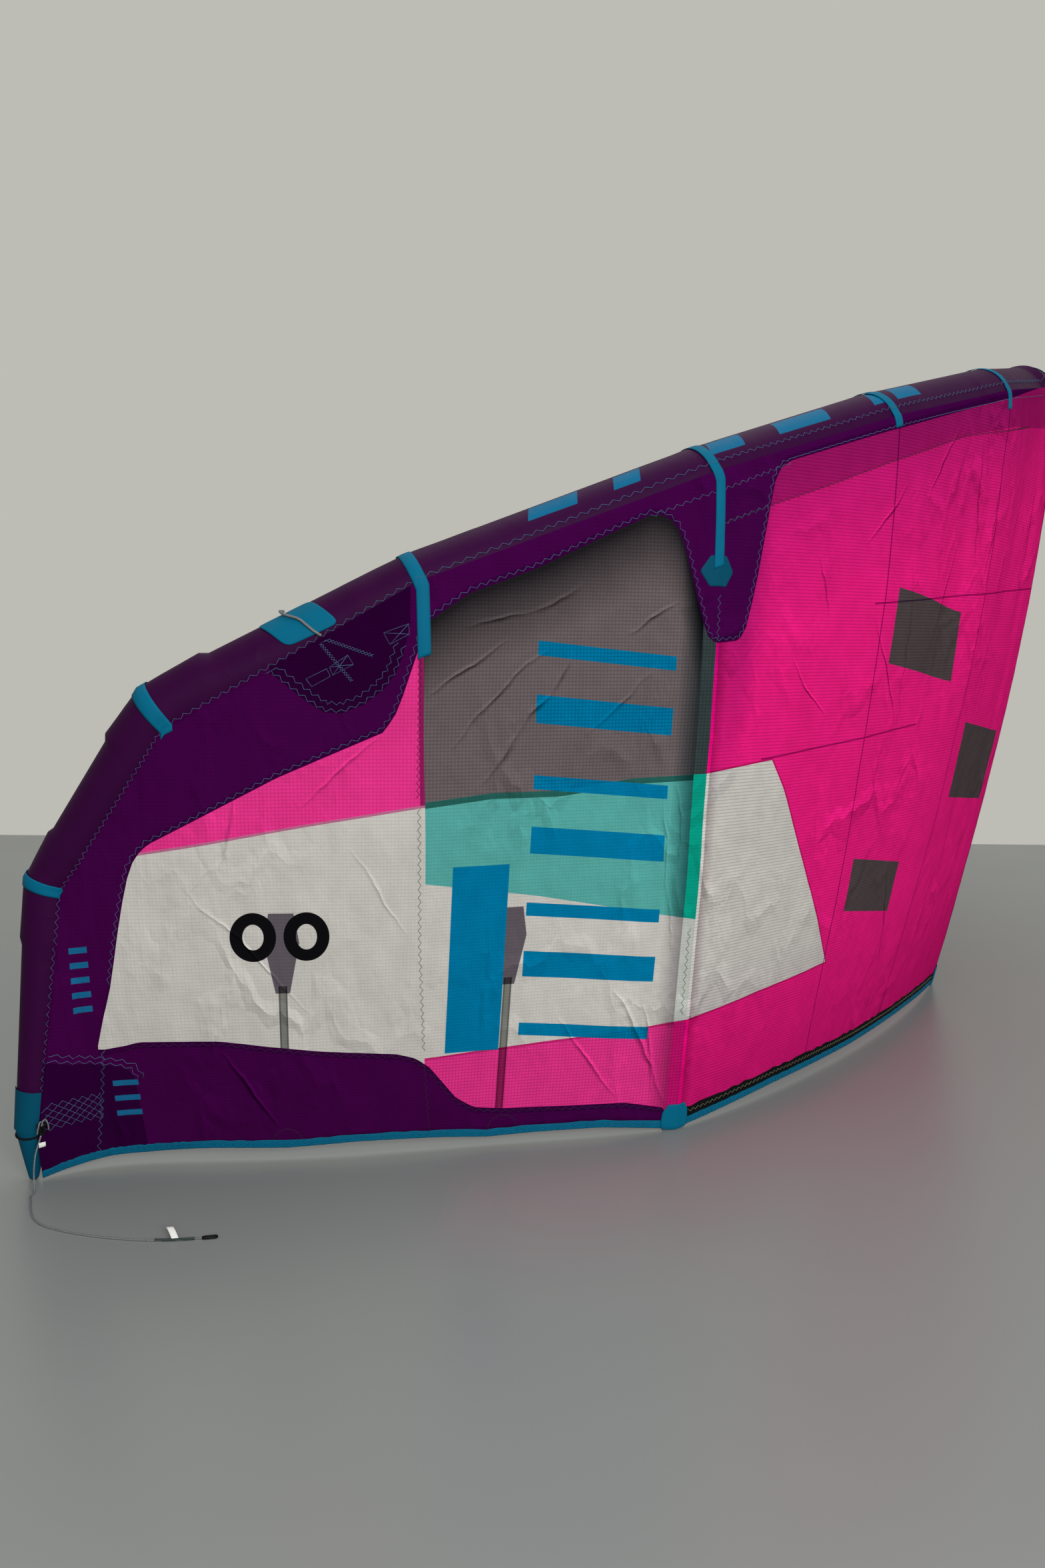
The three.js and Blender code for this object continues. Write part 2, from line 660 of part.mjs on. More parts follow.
battens.forEach((batten, k) => addPair(`battenPocket-${k + 1}`, battenPocket(batten), "battenGrey"));
addPair("bridlePatch", bridleTubePatch(), "tealTape");
addPair("tipCap", wingTipCap(), "tealTape");
addPair("tipKnot", wingTipKnot(), "blackTape");
addPiece("freeLine", freeLine(), "lineGrey");
addPiece("freeLineEnd", freeLineEnd(), "blackTape");

export default kite;
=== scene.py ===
import functools
import math

import bmesh
import bpy
import numpy as np
from mathutils import Matrix, Vector, noise


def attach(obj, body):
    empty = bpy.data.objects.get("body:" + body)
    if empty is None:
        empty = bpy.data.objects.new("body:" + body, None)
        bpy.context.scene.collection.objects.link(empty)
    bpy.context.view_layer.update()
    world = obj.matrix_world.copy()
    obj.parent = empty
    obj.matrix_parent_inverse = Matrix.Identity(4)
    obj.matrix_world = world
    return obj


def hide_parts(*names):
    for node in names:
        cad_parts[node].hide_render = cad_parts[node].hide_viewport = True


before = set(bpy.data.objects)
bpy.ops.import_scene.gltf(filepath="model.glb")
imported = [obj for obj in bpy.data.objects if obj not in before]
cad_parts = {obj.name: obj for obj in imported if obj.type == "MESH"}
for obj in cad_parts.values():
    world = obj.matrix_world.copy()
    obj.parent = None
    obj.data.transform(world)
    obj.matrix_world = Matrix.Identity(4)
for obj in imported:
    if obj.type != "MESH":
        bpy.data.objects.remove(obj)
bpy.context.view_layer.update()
scene = bpy.context.scene


def colour(red, green, blue):
    # a colour on the 0 to 255 scale, made linear for the shaders
    shares = (red / 255, green / 255, blue / 255)
    return tuple(((c + 0.055) / 1.055) ** 2.4 if c > 0.04 else c / 12.92 for c in shares) + (1.0,)


def setModifiers(piece, *modifiers):
    # each modifier is (type, settings); they are applied so that the mesh is final
    for kind, settings in modifiers:
        modifier = piece.modifiers.new(kind.lower(), kind)
        for name, value in settings.items():
            setattr(modifier, name, value)
    graph = bpy.context.evaluated_depsgraph_get()
    mesh = bpy.data.meshes.new_from_object(piece.evaluated_get(graph))
    piece.modifiers.clear()
    old = piece.data
    piece.data = mesh
    bpy.data.meshes.remove(old)


# camera
cameraView = {
    "place": (-3.891, -0.706, 1.08),
    "heading": 70.98,
    "downTilt": 7.26,
    "roll": 0.55,
    "lens": 28.0,
}
cameraData = bpy.data.cameras.new("camera")
cameraData.lens = cameraView["lens"]
cameraData.sensor_width = 36
camera = bpy.data.objects.new("camera", cameraData)
scene.collection.objects.link(camera)
camera.matrix_world = (
    Matrix.Translation(cameraView["place"])
    @ Matrix.Rotation(-math.radians(cameraView["heading"]), 4, "Z")
    @ Matrix.Rotation(math.radians(90 - cameraView["downTilt"]), 4, "X")
    @ Matrix.Rotation(math.radians(cameraView["roll"]), 4, "Z")
)
scene.camera = camera

# free line at the left wing tip
freeLineSet = {
    "diameter": 0.003,
    "route": [
        (-2.0716, 0.8946, 0.1041),
        (-2.076, 0.896, 0.092),
        (-2.082, 0.8995, 0.072),
        (-2.0855, 0.902, 0.046),
        (-2.0885, 0.901, 0.022),
        (-2.094, 0.896, 0.006),
        (-2.103, 0.8905, 0.0018),
        (-2.118, 0.885, 0.0018),
        (-2.131, 0.873, 0.0018),
        (-2.147, 0.860, 0.0018),
        (-2.163, 0.845, 0.0018),
        (-2.178, 0.829, 0.0018),
        (-2.191, 0.810, 0.0018),
        (-2.200, 0.787, 0.0018),
        (-2.204, 0.759, 0.0018),
        (-2.205, 0.727, 0.0018),
        (-2.203, 0.693, 0.0018),
        (-2.199, 0.657, 0.0018),
        (-2.192, 0.619, 0.0018),
        (-2.182, 0.580, 0.0018),
        (-2.168, 0.542, 0.0018),
        (-2.152, 0.509, 0.0018),
        (-2.141, 0.491, 0.0018),
    ],
}


def curveThrough(name, paths, radius, sides=8, smooth=True):
    # one curve object with a spline for each path
    data = bpy.data.curves.new(name, "CURVE")
    data.dimensions = "3D"
    data.bevel_depth = radius
    data.bevel_resolution = max(0, sides // 4 - 1)
    data.resolution_u = 6
    data.use_fill_caps = True
    for path in paths:
        if smooth:
            spline = data.splines.new("BEZIER")
            spline.bezier_points.add(len(path) - 1)
            for handle, point in zip(spline.bezier_points, path):
                handle.co = point
                handle.handle_left_type = handle.handle_right_type = "AUTO"
        else:
            spline = data.splines.new("POLY")
            spline.points.add(len(path) - 1)
            for handle, point in zip(spline.points, path):
                handle.co = (*point, 1)
    piece = bpy.data.objects.new(name, data)
    scene.collection.objects.link(piece)
    return piece


def pathLength(points):
    return sum((Vector(b) - Vector(a)).length for a, b in zip(points, points[1:]))


freeLine = curveThrough("freeLineCord", [freeLineSet["route"]], freeLineSet["diameter"] / 2, 12)
print("camera and free line made")

# the kite's surface, as in the part's own source
kiteSet = {"planRadius": 2.1, "planCentreY": 1.389, "footLift": 0.004, "seamClear": 0.0007, "kneeShare": 0.29}
# one row for each leading edge joint, from the middle to the wing tip
jointNames = ("angle", "height", "lean", "tube", "wrap", "trail", "camber", "sewn")
jointRows = np.array(
    [
        (0, 1.757, 0.165, 0.078, 15, 0, 0.030, 0),
        (14.7, 1.652, 0.109, 0.076, 15, 16.5, 0.020, 0),
        (28, 1.528, 0.062, 0.074, 15, 28, 0.012, 0),
        (41, 1.375, 0.030, 0.071, 15, 40.9, 0.012, 0),
        (57, 1.154, 0.009, 0.065, 10, 56.1, 0.006, 0),
        (70, 0.919, 0, 0.056, 6, 69.5, 0.003, -36),
        (76, 0.594, 0, 0.044, 6, 74, 0.005, -54),
        (77.5, 0.107, 0, 0.030, 6, 77, 0.009, -54),
    ]
)
tipJoint = len(jointRows) - 1
# from, to, inset, lift, and the power of each half
scallopRows = [(0, 40.9, 0.057, 0.022, 2, 2), (40.9, 77, 0.104, 0.022, 2, 7)]


def unit(vector):
    return vector / np.linalg.norm(vector, axis=-1, keepdims=True)


def atJoint(joint, name):
    return np.interp(np.abs(joint), range(tipJoint + 1), jointRows[:, jointNames.index(name)])


def planPoint(joint, angle, radius, height):
    # the left half of the kite has joint >= 0 and lies at -X
    turn = np.radians(angle)
    side = np.where(np.asarray(joint) < 0, -1.0, 1.0)
    x = -side * radius * np.sin(turn)
    y = kiteSet["planCentreY"] - radius * np.cos(turn)
    return np.stack(np.broadcast_arrays(x, y, height), axis=-1)


jointCentres = planPoint(0, jointRows[:, 0], kiteSet["planRadius"] + jointRows[:, 2], jointRows[:, 1])


def tubeCentre(joint):
    place = np.clip(np.abs(joint), 0, tipJoint)
    centre = np.stack([np.interp(place, range(tipJoint + 1), jointCentres[:, k]) for k in range(3)], axis=-1)
    centre[..., 0] *= np.where(np.asarray(joint) < 0, -1.0, 1.0)
    return centre


def stretchAxis(stretch):
    # direction of a straight stretch of the tube, towards the left tip
    stretch = np.clip(stretch, -tipJoint, tipJoint - 1)
    return unit(tubeCentre(stretch + 1.0) - tubeCentre(stretch + 0.0))


def tubeFrame(joint):
    axis = unit(tubeCentre(joint + 0.25) - tubeCentre(joint - 0.25))
    outward = planPoint(joint, atJoint(joint, "angle"), 1.0, 0.0)
    outward[..., 1] -= kiteSet["planCentreY"]
    outward = unit(outward - axis * np.sum(outward * axis, axis=-1, keepdims=True))
    return axis, outward, np.cross(axis, outward)


def tubePoint(joint, angle, clear):
    # angle 0 faces outwards, 90 is the tube's front, away from the canopy
    joint = np.asarray(joint, float)
    turn = np.radians(angle)[..., None] if np.ndim(angle) else np.radians(angle)
    _, outward, upward = tubeFrame(joint)
    direction = outward * np.cos(turn) + upward * np.sin(turn)
    reach = 0
    for step in (-0.24, 0.24):
        along = np.sum(direction * stretchAxis(np.floor(joint + step)), axis=-1)
        reach = np.maximum(reach, atJoint(joint, "tube") / np.sqrt(1 - along**2))
    return tubeCentre(joint) + direction * (reach + clear)[..., None]


# the trailing edge's own waves: joint and rise in metres
edgeWaves = [(0, 0), (0.6, 0.002), (1.4, -0.002), (2.3, 0.003), (2.8, 0), (3.05, 0), (3.3, 0.006)]
edgeWaves += [(3.55, 0.001), (3.75, -0.005), (3.95, 0), (4.3, 0.003), (4.6, -0.002), (4.9, 0.002)]
edgeWaves += [(5.6, 0), (6.0, 0.002), (6.5, 0), (7, 0)]


def trailingPoint(joint):
    angle = atJoint(joint, "trail")
    inset, lift = np.zeros_like(angle), np.zeros_like(angle)
    for start, stop, rowInset, rowLift, lowPower, highPower in scallopRows:
        share = (2 * angle - start - stop) / (stop - start)
        swell = np.clip(1 - np.abs(share) ** np.where(share < 0, lowPower, highPower), 0, None)
        inset, lift = inset + rowInset * swell, lift + rowLift * swell
    places, rises = zip(*edgeWaves)
    lift = lift + np.interp(np.abs(joint), places, rises)
    return planPoint(joint, angle, kiteSet["planRadius"] - inset, kiteSet["footLift"] + lift)


def planAngle(point):
    return np.degrees(np.arctan2(np.abs(point[..., 0]), kiteSet["planCentreY"] - point[..., 1]))


def planReach(point):
    return np.hypot(point[..., 0], kiteSet["planCentreY"] - point[..., 1])


def canopyLine(joint):
    # three control points from the tube's outer side to the trailing edge
    start, end = tubePoint(joint, atJoint(joint, "sewn"), kiteSet["seamClear"]), trailingPoint(joint)
    share = kiteSet["kneeShare"]
    angle = planAngle(start) * (1 - share) + planAngle(end) * share
    height = start[..., 2] * (1 - share) + end[..., 2] * share
    knee = planPoint(joint, angle, planReach(start) + atJoint(joint, "camber"), height)
    return start, knee, end


def canopyBase(joint, share):
    joint, share = np.broadcast_arrays(np.asarray(joint, float), np.asarray(share, float))
    start, knee, end = canopyLine(joint)
    drop = np.clip(share, 0, None)[..., None]
    hung = start * (1 - drop) ** 2 + knee * 2 * drop * (1 - drop) + end * drop**2
    angle = atJoint(joint, "sewn") + np.clip(-share, 0, None) * atJoint(joint, "wrap")
    sewn = tubePoint(joint, angle, kiteSet["seamClear"])
    return np.where((share < 0)[..., None], sewn, hung)


def canopyNormal(joint, share):
    step = 0.02
    across = canopyBase(joint + step, share) - canopyBase(joint - step, share)
    down = canopyBase(joint, share + step) - canopyBase(joint, share - step)
    return unit(np.cross(across, down))


def shareAbove(joint, distance):
    # the share of a canopy line left above its last stretch
    _, knee, end = canopyLine(joint)
    return 1 - distance / (2 * np.linalg.norm(end - knee, axis=-1))


def shareBelow(joint, distance):
    # the share of a canopy line at a distance from the tube, by halving
    joint, distance = np.broadcast_arrays(np.asarray(joint, float), np.asarray(distance, float))
    start = canopyBase(joint, 0)
    low, high = np.zeros(joint.shape), np.ones(joint.shape)
    for _ in range(24):
        middle = (low + high) / 2
        short = np.linalg.norm(canopyBase(joint, middle) - start, axis=-1) < distance
        low, high = np.where(short, middle, low), np.where(short, high, middle)
    return low


def stepWidth(joint, share):
    return np.linalg.norm(canopyBase(joint, share) - canopyBase(joint + 0.05, share), axis=-1) / 0.05


def clothMap(point):
    # metres round the plan and metres above the floor
    return np.stack([np.radians(planAngle(point)) * kiteSet["planRadius"], point[..., 2]], axis=-1)


# main folds and creases: from (span, height) to (span, height) in metres, depth and half width
foldRows = [
    (0.26, 1.56, 0.33, 1.12, -0.009, 0.090),
    (0.62, 1.48, 0.77, 0.98, -0.010, 0.100),
    (0.88, 1.18, 0.66, 0.62, 0.009, 0.100),
    (1.28, 1.16, 1.32, 0.76, 0.008, 0.090),
    (1.76, 1.08, 2.09, 0.84, -0.009, 0.100),
    (1.61, 0.56, 1.69, 0.16, 0.008, 0.100),
    (2.20, 0.90, 2.42, 0.52, -0.009, 0.100),
    (2.64, 0.33, 2.46, 0.64, 0.008, 0.100),
]


def foldDepth(point):
    here = clothMap(point)
    depth = np.zeros(here.shape[:-1])
    for startU, startZ, stopU, stopZ, rowDepth, width in foldRows:
        start, along = np.array((startU, startZ)), np.array((stopU - startU, stopZ - startZ))
        share = np.clip(np.sum((here - start) * along, axis=-1) / np.sum(along**2), 0, 1)
        distance = np.linalg.norm(here - start - share[..., None] * along, axis=-1)
        depth += rowDepth * np.exp(-((distance / width) ** 2))
    return depth


def canopyPoint(joint, share, outside):
    point = canopyBase(joint, share)
    ease = np.clip((share - 0.02) / 0.1, 0, 1)
    fold = foldDepth(point) * ease * ease * (3 - 2 * ease)
    return point + canopyNormal(joint, share) * (fold + outside)[..., None]


def canopyPlace(span, height, side=1, outside=0.002):
    # a point on the canopy from its place on the cloth map, by Newton's steps
    span, height = np.broadcast_arrays(np.asarray(span, float), np.asarray(height, float))
    joint = np.interp(np.degrees(span / kiteSet["planRadius"]), jointRows[:, 5], range(tipJoint + 1))
    share = 1 - height / atJoint(joint, "height")
    for _ in range(14):
        here = clothMap(canopyBase(joint, share))
        step = 1e-3
        byJoint = (clothMap(canopyBase(joint + step, share)) - here) / step
        byShare = (clothMap(canopyBase(joint, share + step)) - here) / step
        miss = np.stack([span, height], axis=-1) - here
        det = byJoint[..., 0] * byShare[..., 1] - byJoint[..., 1] * byShare[..., 0]
        joint = joint + (miss[..., 0] * byShare[..., 1] - miss[..., 1] * byShare[..., 0]) / det
        share = share + (miss[..., 1] * byJoint[..., 0] - miss[..., 0] * byJoint[..., 1]) / det
        joint, share = np.clip(joint, 0.001, tipJoint - 0.001), np.clip(share, 0, 1)
    return clothPoint(joint * side, share, outside)


def ripple(flat, seed):
    # small uneven waves over the cloth, in metres
    waves = [noise.fractal(Vector((u * 9, z * 3.2, seed)), 0.8, 2.1, 4) for u, z in flat]
    return np.array(waves) * 0.0022


def clothPoint(joint, share, outside):
    # a point on the canopy as it is shown, with its small waves
    joint, share, outside = np.broadcast_arrays(np.asarray(joint, float), share, outside)
    point = canopyPoint(joint, share, outside)
    ease = np.clip(share / 0.08, 0, 1) * np.clip((1 - share) / 0.05, 0, 1)
    seeds = np.where(joint < 0, 3.0, 5.0)
    wave = ripple(clothMap(point), float(seeds.flat[0]))
    return point + canopyNormal(joint, share) * (wave * ease)[..., None]


# mesh helpers
def addGrid(shape, columns, rows, place, mapPlace=None, seamPlace=None):
    # adds a grid whose own 0 to 1 places are turned into points by place(across, down)
    made = bmesh.ops.create_grid(shape, x_segments=columns, y_segments=rows, size=0.5)["verts"]
    own = np.array([vertex.co[:2] for vertex in made]) + 0.5
    points = place(own[:, 0], own[:, 1])
    maps = [clothMap(points) if mapPlace is None else mapPlace(own[:, 0], own[:, 1])]
    names = ["clothMap"]
    if seamPlace:
        maps.append(seamPlace(own[:, 0], own[:, 1]))
        names.append("seamMap")
    order = {vertex: number for number, vertex in enumerate(made)}
    for vertex, point in zip(made, points):
        vertex.co = point
    layers = [shape.loops.layers.uv.get(name) or shape.loops.layers.uv.new(name) for name in names]
    for face in {face for vertex in made for face in vertex.link_faces}:
        for loop in face.loops:
            for layer, flat in zip(layers, maps):
                loop[layer].uv = flat[order[loop.vert]]
    return made


def closeShape(shape, distance=1e-5):
    # joins the first and last columns of a rolled-up grid and fills its ends
    bmesh.ops.remove_doubles(shape, verts=shape.verts, dist=distance)
    holes = [edge for edge in shape.edges if edge.is_boundary]
    if holes:
        bmesh.ops.holes_fill(shape, edges=holes, sides=0)
    bmesh.ops.recalc_face_normals(shape, faces=shape.faces)
    return shape


def newPiece(name, shape, material, slot, nodes=(), modifiers=(), more=()):
    mesh = bpy.data.meshes.new(name)
    shape.to_mesh(mesh)
    shape.free()
    piece = bpy.data.objects.new(name, mesh)
    scene.collection.objects.link(piece)
    for face in mesh.polygons:
        face.use_smooth = True
    for finish in (material, *more):
        mesh.materials.append(finish)
    if modifiers:
        setModifiers(piece, *modifiers)
    if nodes:
        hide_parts(*nodes)
    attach(piece, "root")
    return piece


def sheetPiece(name, columns, rows, place, material, slot, nodes=(), thickness=0.001, mapPlace=None):
    # a thin piece whose outer face is the grid
    shape = bmesh.new()
    addGrid(shape, columns, rows, place, mapPlace)
    thick = ("SOLIDIFY", {"thickness": thickness, "offset": -1})
    return newPiece(name, shape, material, slot, nodes, [thick])


def tubePiece(name, paths, radius, material, slot, nodes=(), sides=8, smooth=True):
    # round strands through lists of points, as one mesh
    curve = curveThrough(name, paths, radius, sides, smooth)
    graph = bpy.context.evaluated_depsgraph_get()
    mesh = bpy.data.meshes.new_from_object(curve.evaluated_get(graph))
    data = curve.data
    bpy.data.objects.remove(curve)
    bpy.data.curves.remove(data)
    shape = bmesh.new()
    shape.from_mesh(mesh)
    bpy.data.meshes.remove(mesh)
    bmesh.ops.remove_doubles(shape, verts=shape.verts, dist=1e-7)
    return newPiece(name, shape, material, slot, nodes)


def ownMap(width, length):
    return lambda across, down: np.stack([across * width, down * length], axis=-1)


sides = (("left", 1), ("right", -1))


# shader helpers
def addNode(tree, kind, inputs=None, **settings):
    node = tree.nodes.new(kind)
    for name, value in settings.items():
        setattr(node, name, value)
    for socket, value in (inputs or {}).items():
        if isinstance(value, bpy.types.NodeSocket):
            tree.links.new(value, node.inputs[socket])
        else:
            node.inputs[socket].default_value = value
    return node


def sums(tree, operation, *values, clamp=False):
    inputs = dict(enumerate(values))
    return addNode(tree, "ShaderNodeMath", inputs, operation=operation, use_clamp=clamp).outputs[0]


def vectors(tree, operation, *values):
    # the number or the vector that a vector sum gives
    node = addNode(tree, "ShaderNodeVectorMath", dict(enumerate(values)), operation=operation)
    return node.outputs["Value" if operation in ("LENGTH", "DISTANCE", "DOT_PRODUCT") else "Vector"]


def noiseMap(tree, place, scale, detail):
    return addNode(tree, "ShaderNodeTexNoise", {"Vector": place, "Scale": scale, "Detail": detail}).outputs


def mixColours(tree, share, first, second, blend="MIX"):
    node = addNode(tree, "ShaderNodeMix", {0: share, 6: first, 7: second}, data_type="RGBA", blend_type=blend)
    return node.outputs[2]


def shadeAndToneColours(tree, tones, value):
    # multiplies colours by one number: painted shade on the cloth pieces, random tone on the floor
    grey = addNode(tree, "ShaderNodeCombineColor", {0: value, 1: value, 2: value}).outputs[0]
    return mixColours(tree, 1.0, tones, grey, "MULTIPLY")


def newGroup(name, inputs, outputs):
    group = bpy.data.node_groups.new(name, "ShaderNodeTree")
    for label, kind, value in inputs:
        socket = group.interface.new_socket(label, in_out="INPUT", socket_type=kind)
        if value is not None:
            socket.default_value = value
    for label, kind in outputs:
        group.interface.new_socket(label, in_out="OUTPUT", socket_type=kind)
    return group, group.nodes.new("NodeGroupInput"), group.nodes.new("NodeGroupOutput")


def useGroup(tree, group, inputs):
    return addNode(tree, "ShaderNodeGroup", inputs, node_tree=group).outputs


def newMaterial(name, roughness, specular=0.05, sheen=0.0):
    material = bpy.data.materials.new(name)
    material.use_nodes = True
    tree = material.node_tree
    shader = tree.nodes["Principled BSDF"]
    shader.inputs["Roughness"].default_value = roughness
    shader.inputs["Specular IOR Level"].default_value = specular
    shader.inputs["Sheen Weight"].default_value = sheen
    return material, tree, shader


def makeWeaveGroup():
    # fine threads both ways, with thicker ripstop threads every few millimetres
    group, given, result = newGroup(
        "clothWeave",
        [
            ("Map", "NodeSocketVector", None),
            ("Ripstop", "NodeSocketFloat", 0.0058),
            ("Across", "NodeSocketFloat", 1.0),
            ("Thread", "NodeSocketFloat", 0.0012),
        ],
        [("Lines", "NodeSocketFloat"), ("Height", "NodeSocketFloat")],
    )
    parts = addNode(group, "ShaderNodeSeparateXYZ", {0: given.outputs["Map"]})
    lines = []
    for axis in (0, 1):
        count = sums(group, "DIVIDE", parts.outputs[axis], given.outputs["Ripstop"])
        away = sums(group, "PINGPONG", count, 0.5)
        line = sums(group, "SUBTRACT", 1.3, sums(group, "MULTIPLY", away, 4.5), clamp=True)
        lines.append(sums(group, "MULTIPLY", line, given.outputs["Across"]) if axis == 0 else line)
    both = sums(group, "MAXIMUM", *lines)
    threads = []
    for axis in (0, 1):
        count = sums(group, "DIVIDE", parts.outputs[axis], given.outputs["Thread"])
        threads.append(sums(group, "SINE", sums(group, "MULTIPLY", count, math.tau)))
    fine = sums(group, "MULTIPLY", *threads)
    group.links.new(both, result.inputs["Lines"])
    group.links.new(sums(group, "MULTIPLY_ADD", fine, 0.12, both), result.inputs["Height"])
    return group


def makeCrumpleGroup():
    # small creases: a web of sharp lines broken up by noise, and soft unevenness, with a painted shade that
    # follows the unevenness
    group, given, result = newGroup(
        "clothCrumple",
        [("Map", "NodeSocketVector", None), ("Scale", "NodeSocketFloat", 1.0)],
        [("Height", "NodeSocketFloat"), ("Shade", "NodeSocketFloat")],
    )
    stretched = addNode(group, "ShaderNodeMapping", {0: given.outputs["Map"], 3: (7.0, 3.4, 1.0)})
    stretched = stretched.outputs[0]
    warp = noiseMap(group, stretched, 1.6, 3.0)["Color"]
    bent = vectors(group, "MULTIPLY_ADD", warp, (0.9, 0.9, 0.9), stretched)
    cells = {"Vector": bent, "Scale": given.outputs["Scale"]}
    web = addNode(group, "ShaderNodeTexVoronoi", cells, feature="DISTANCE_TO_EDGE")
    crease = sums(group, "SUBTRACT", 1.0, sums(group, "MULTIPLY", web.outputs["Distance"], 7.0), clamp=True)
    where = noiseMap(group, given.outputs["Map"], 2.2, 2.0)["Fac"]
    patchy = addNode(group, "ShaderNodeMapRange", {0: where, 1: 0.42, 2: 0.62})
    soft = noiseMap(group, stretched, 3.1, 4.0)["Fac"]
    sharp = sums(group, "MULTIPLY", crease, patchy.outputs[0])
    group.links.new(sums(group, "MULTIPLY_ADD", soft, 0.8, sharp), result.inputs["Height"])
    group.links.new(sums(group, "MULTIPLY_ADD", soft, 0.25, 0.875), result.inputs["Shade"])
    return group


def makeCreaseGroup():
    # one sharp crease between two places on the cloth map, fading at its ends
    group, given, result = newGroup(
        "clothCrease",
        [
            ("Map", "NodeSocketVector", None),
            ("Start", "NodeSocketVector", None),
            ("Along", "NodeSocketVector", None),
            ("Width", "NodeSocketFloat", 0.008),
        ],
        [("Height", "NodeSocketFloat")],
    )
    along = given.outputs["Along"]
    away = vectors(group, "SUBTRACT", given.outputs["Map"], given.outputs["Start"])
    dots = [vectors(group, "DOT_PRODUCT", first, along) for first in (away, along)]
    share = sums(group, "DIVIDE", *dots, clamp=True)
    nearest = addNode(group, "ShaderNodeVectorMath", {0: along, 3: share}, operation="SCALE").outputs[0]
    slope = sums(group, "DIVIDE", vectors(group, "DISTANCE", away, nearest), given.outputs["Width"])
    ridge = sums(group, "SUBTRACT", 1.0, slope, clamp=True)
    fade = sums(group, "PINGPONG", share, 0.5)
    ridge = sums(group, "MULTIPLY", ridge, ridge)
    shape = sums(group, "MULTIPLY", ridge, sums(group, "MULTIPLY_ADD", fade, 1.6, 0.1))
    group.links.new(shape, result.inputs["Height"])
    return group


weaveGroup = makeWeaveGroup()
crumpleGroup = makeCrumpleGroup()
creaseGroup = makeCreaseGroup()


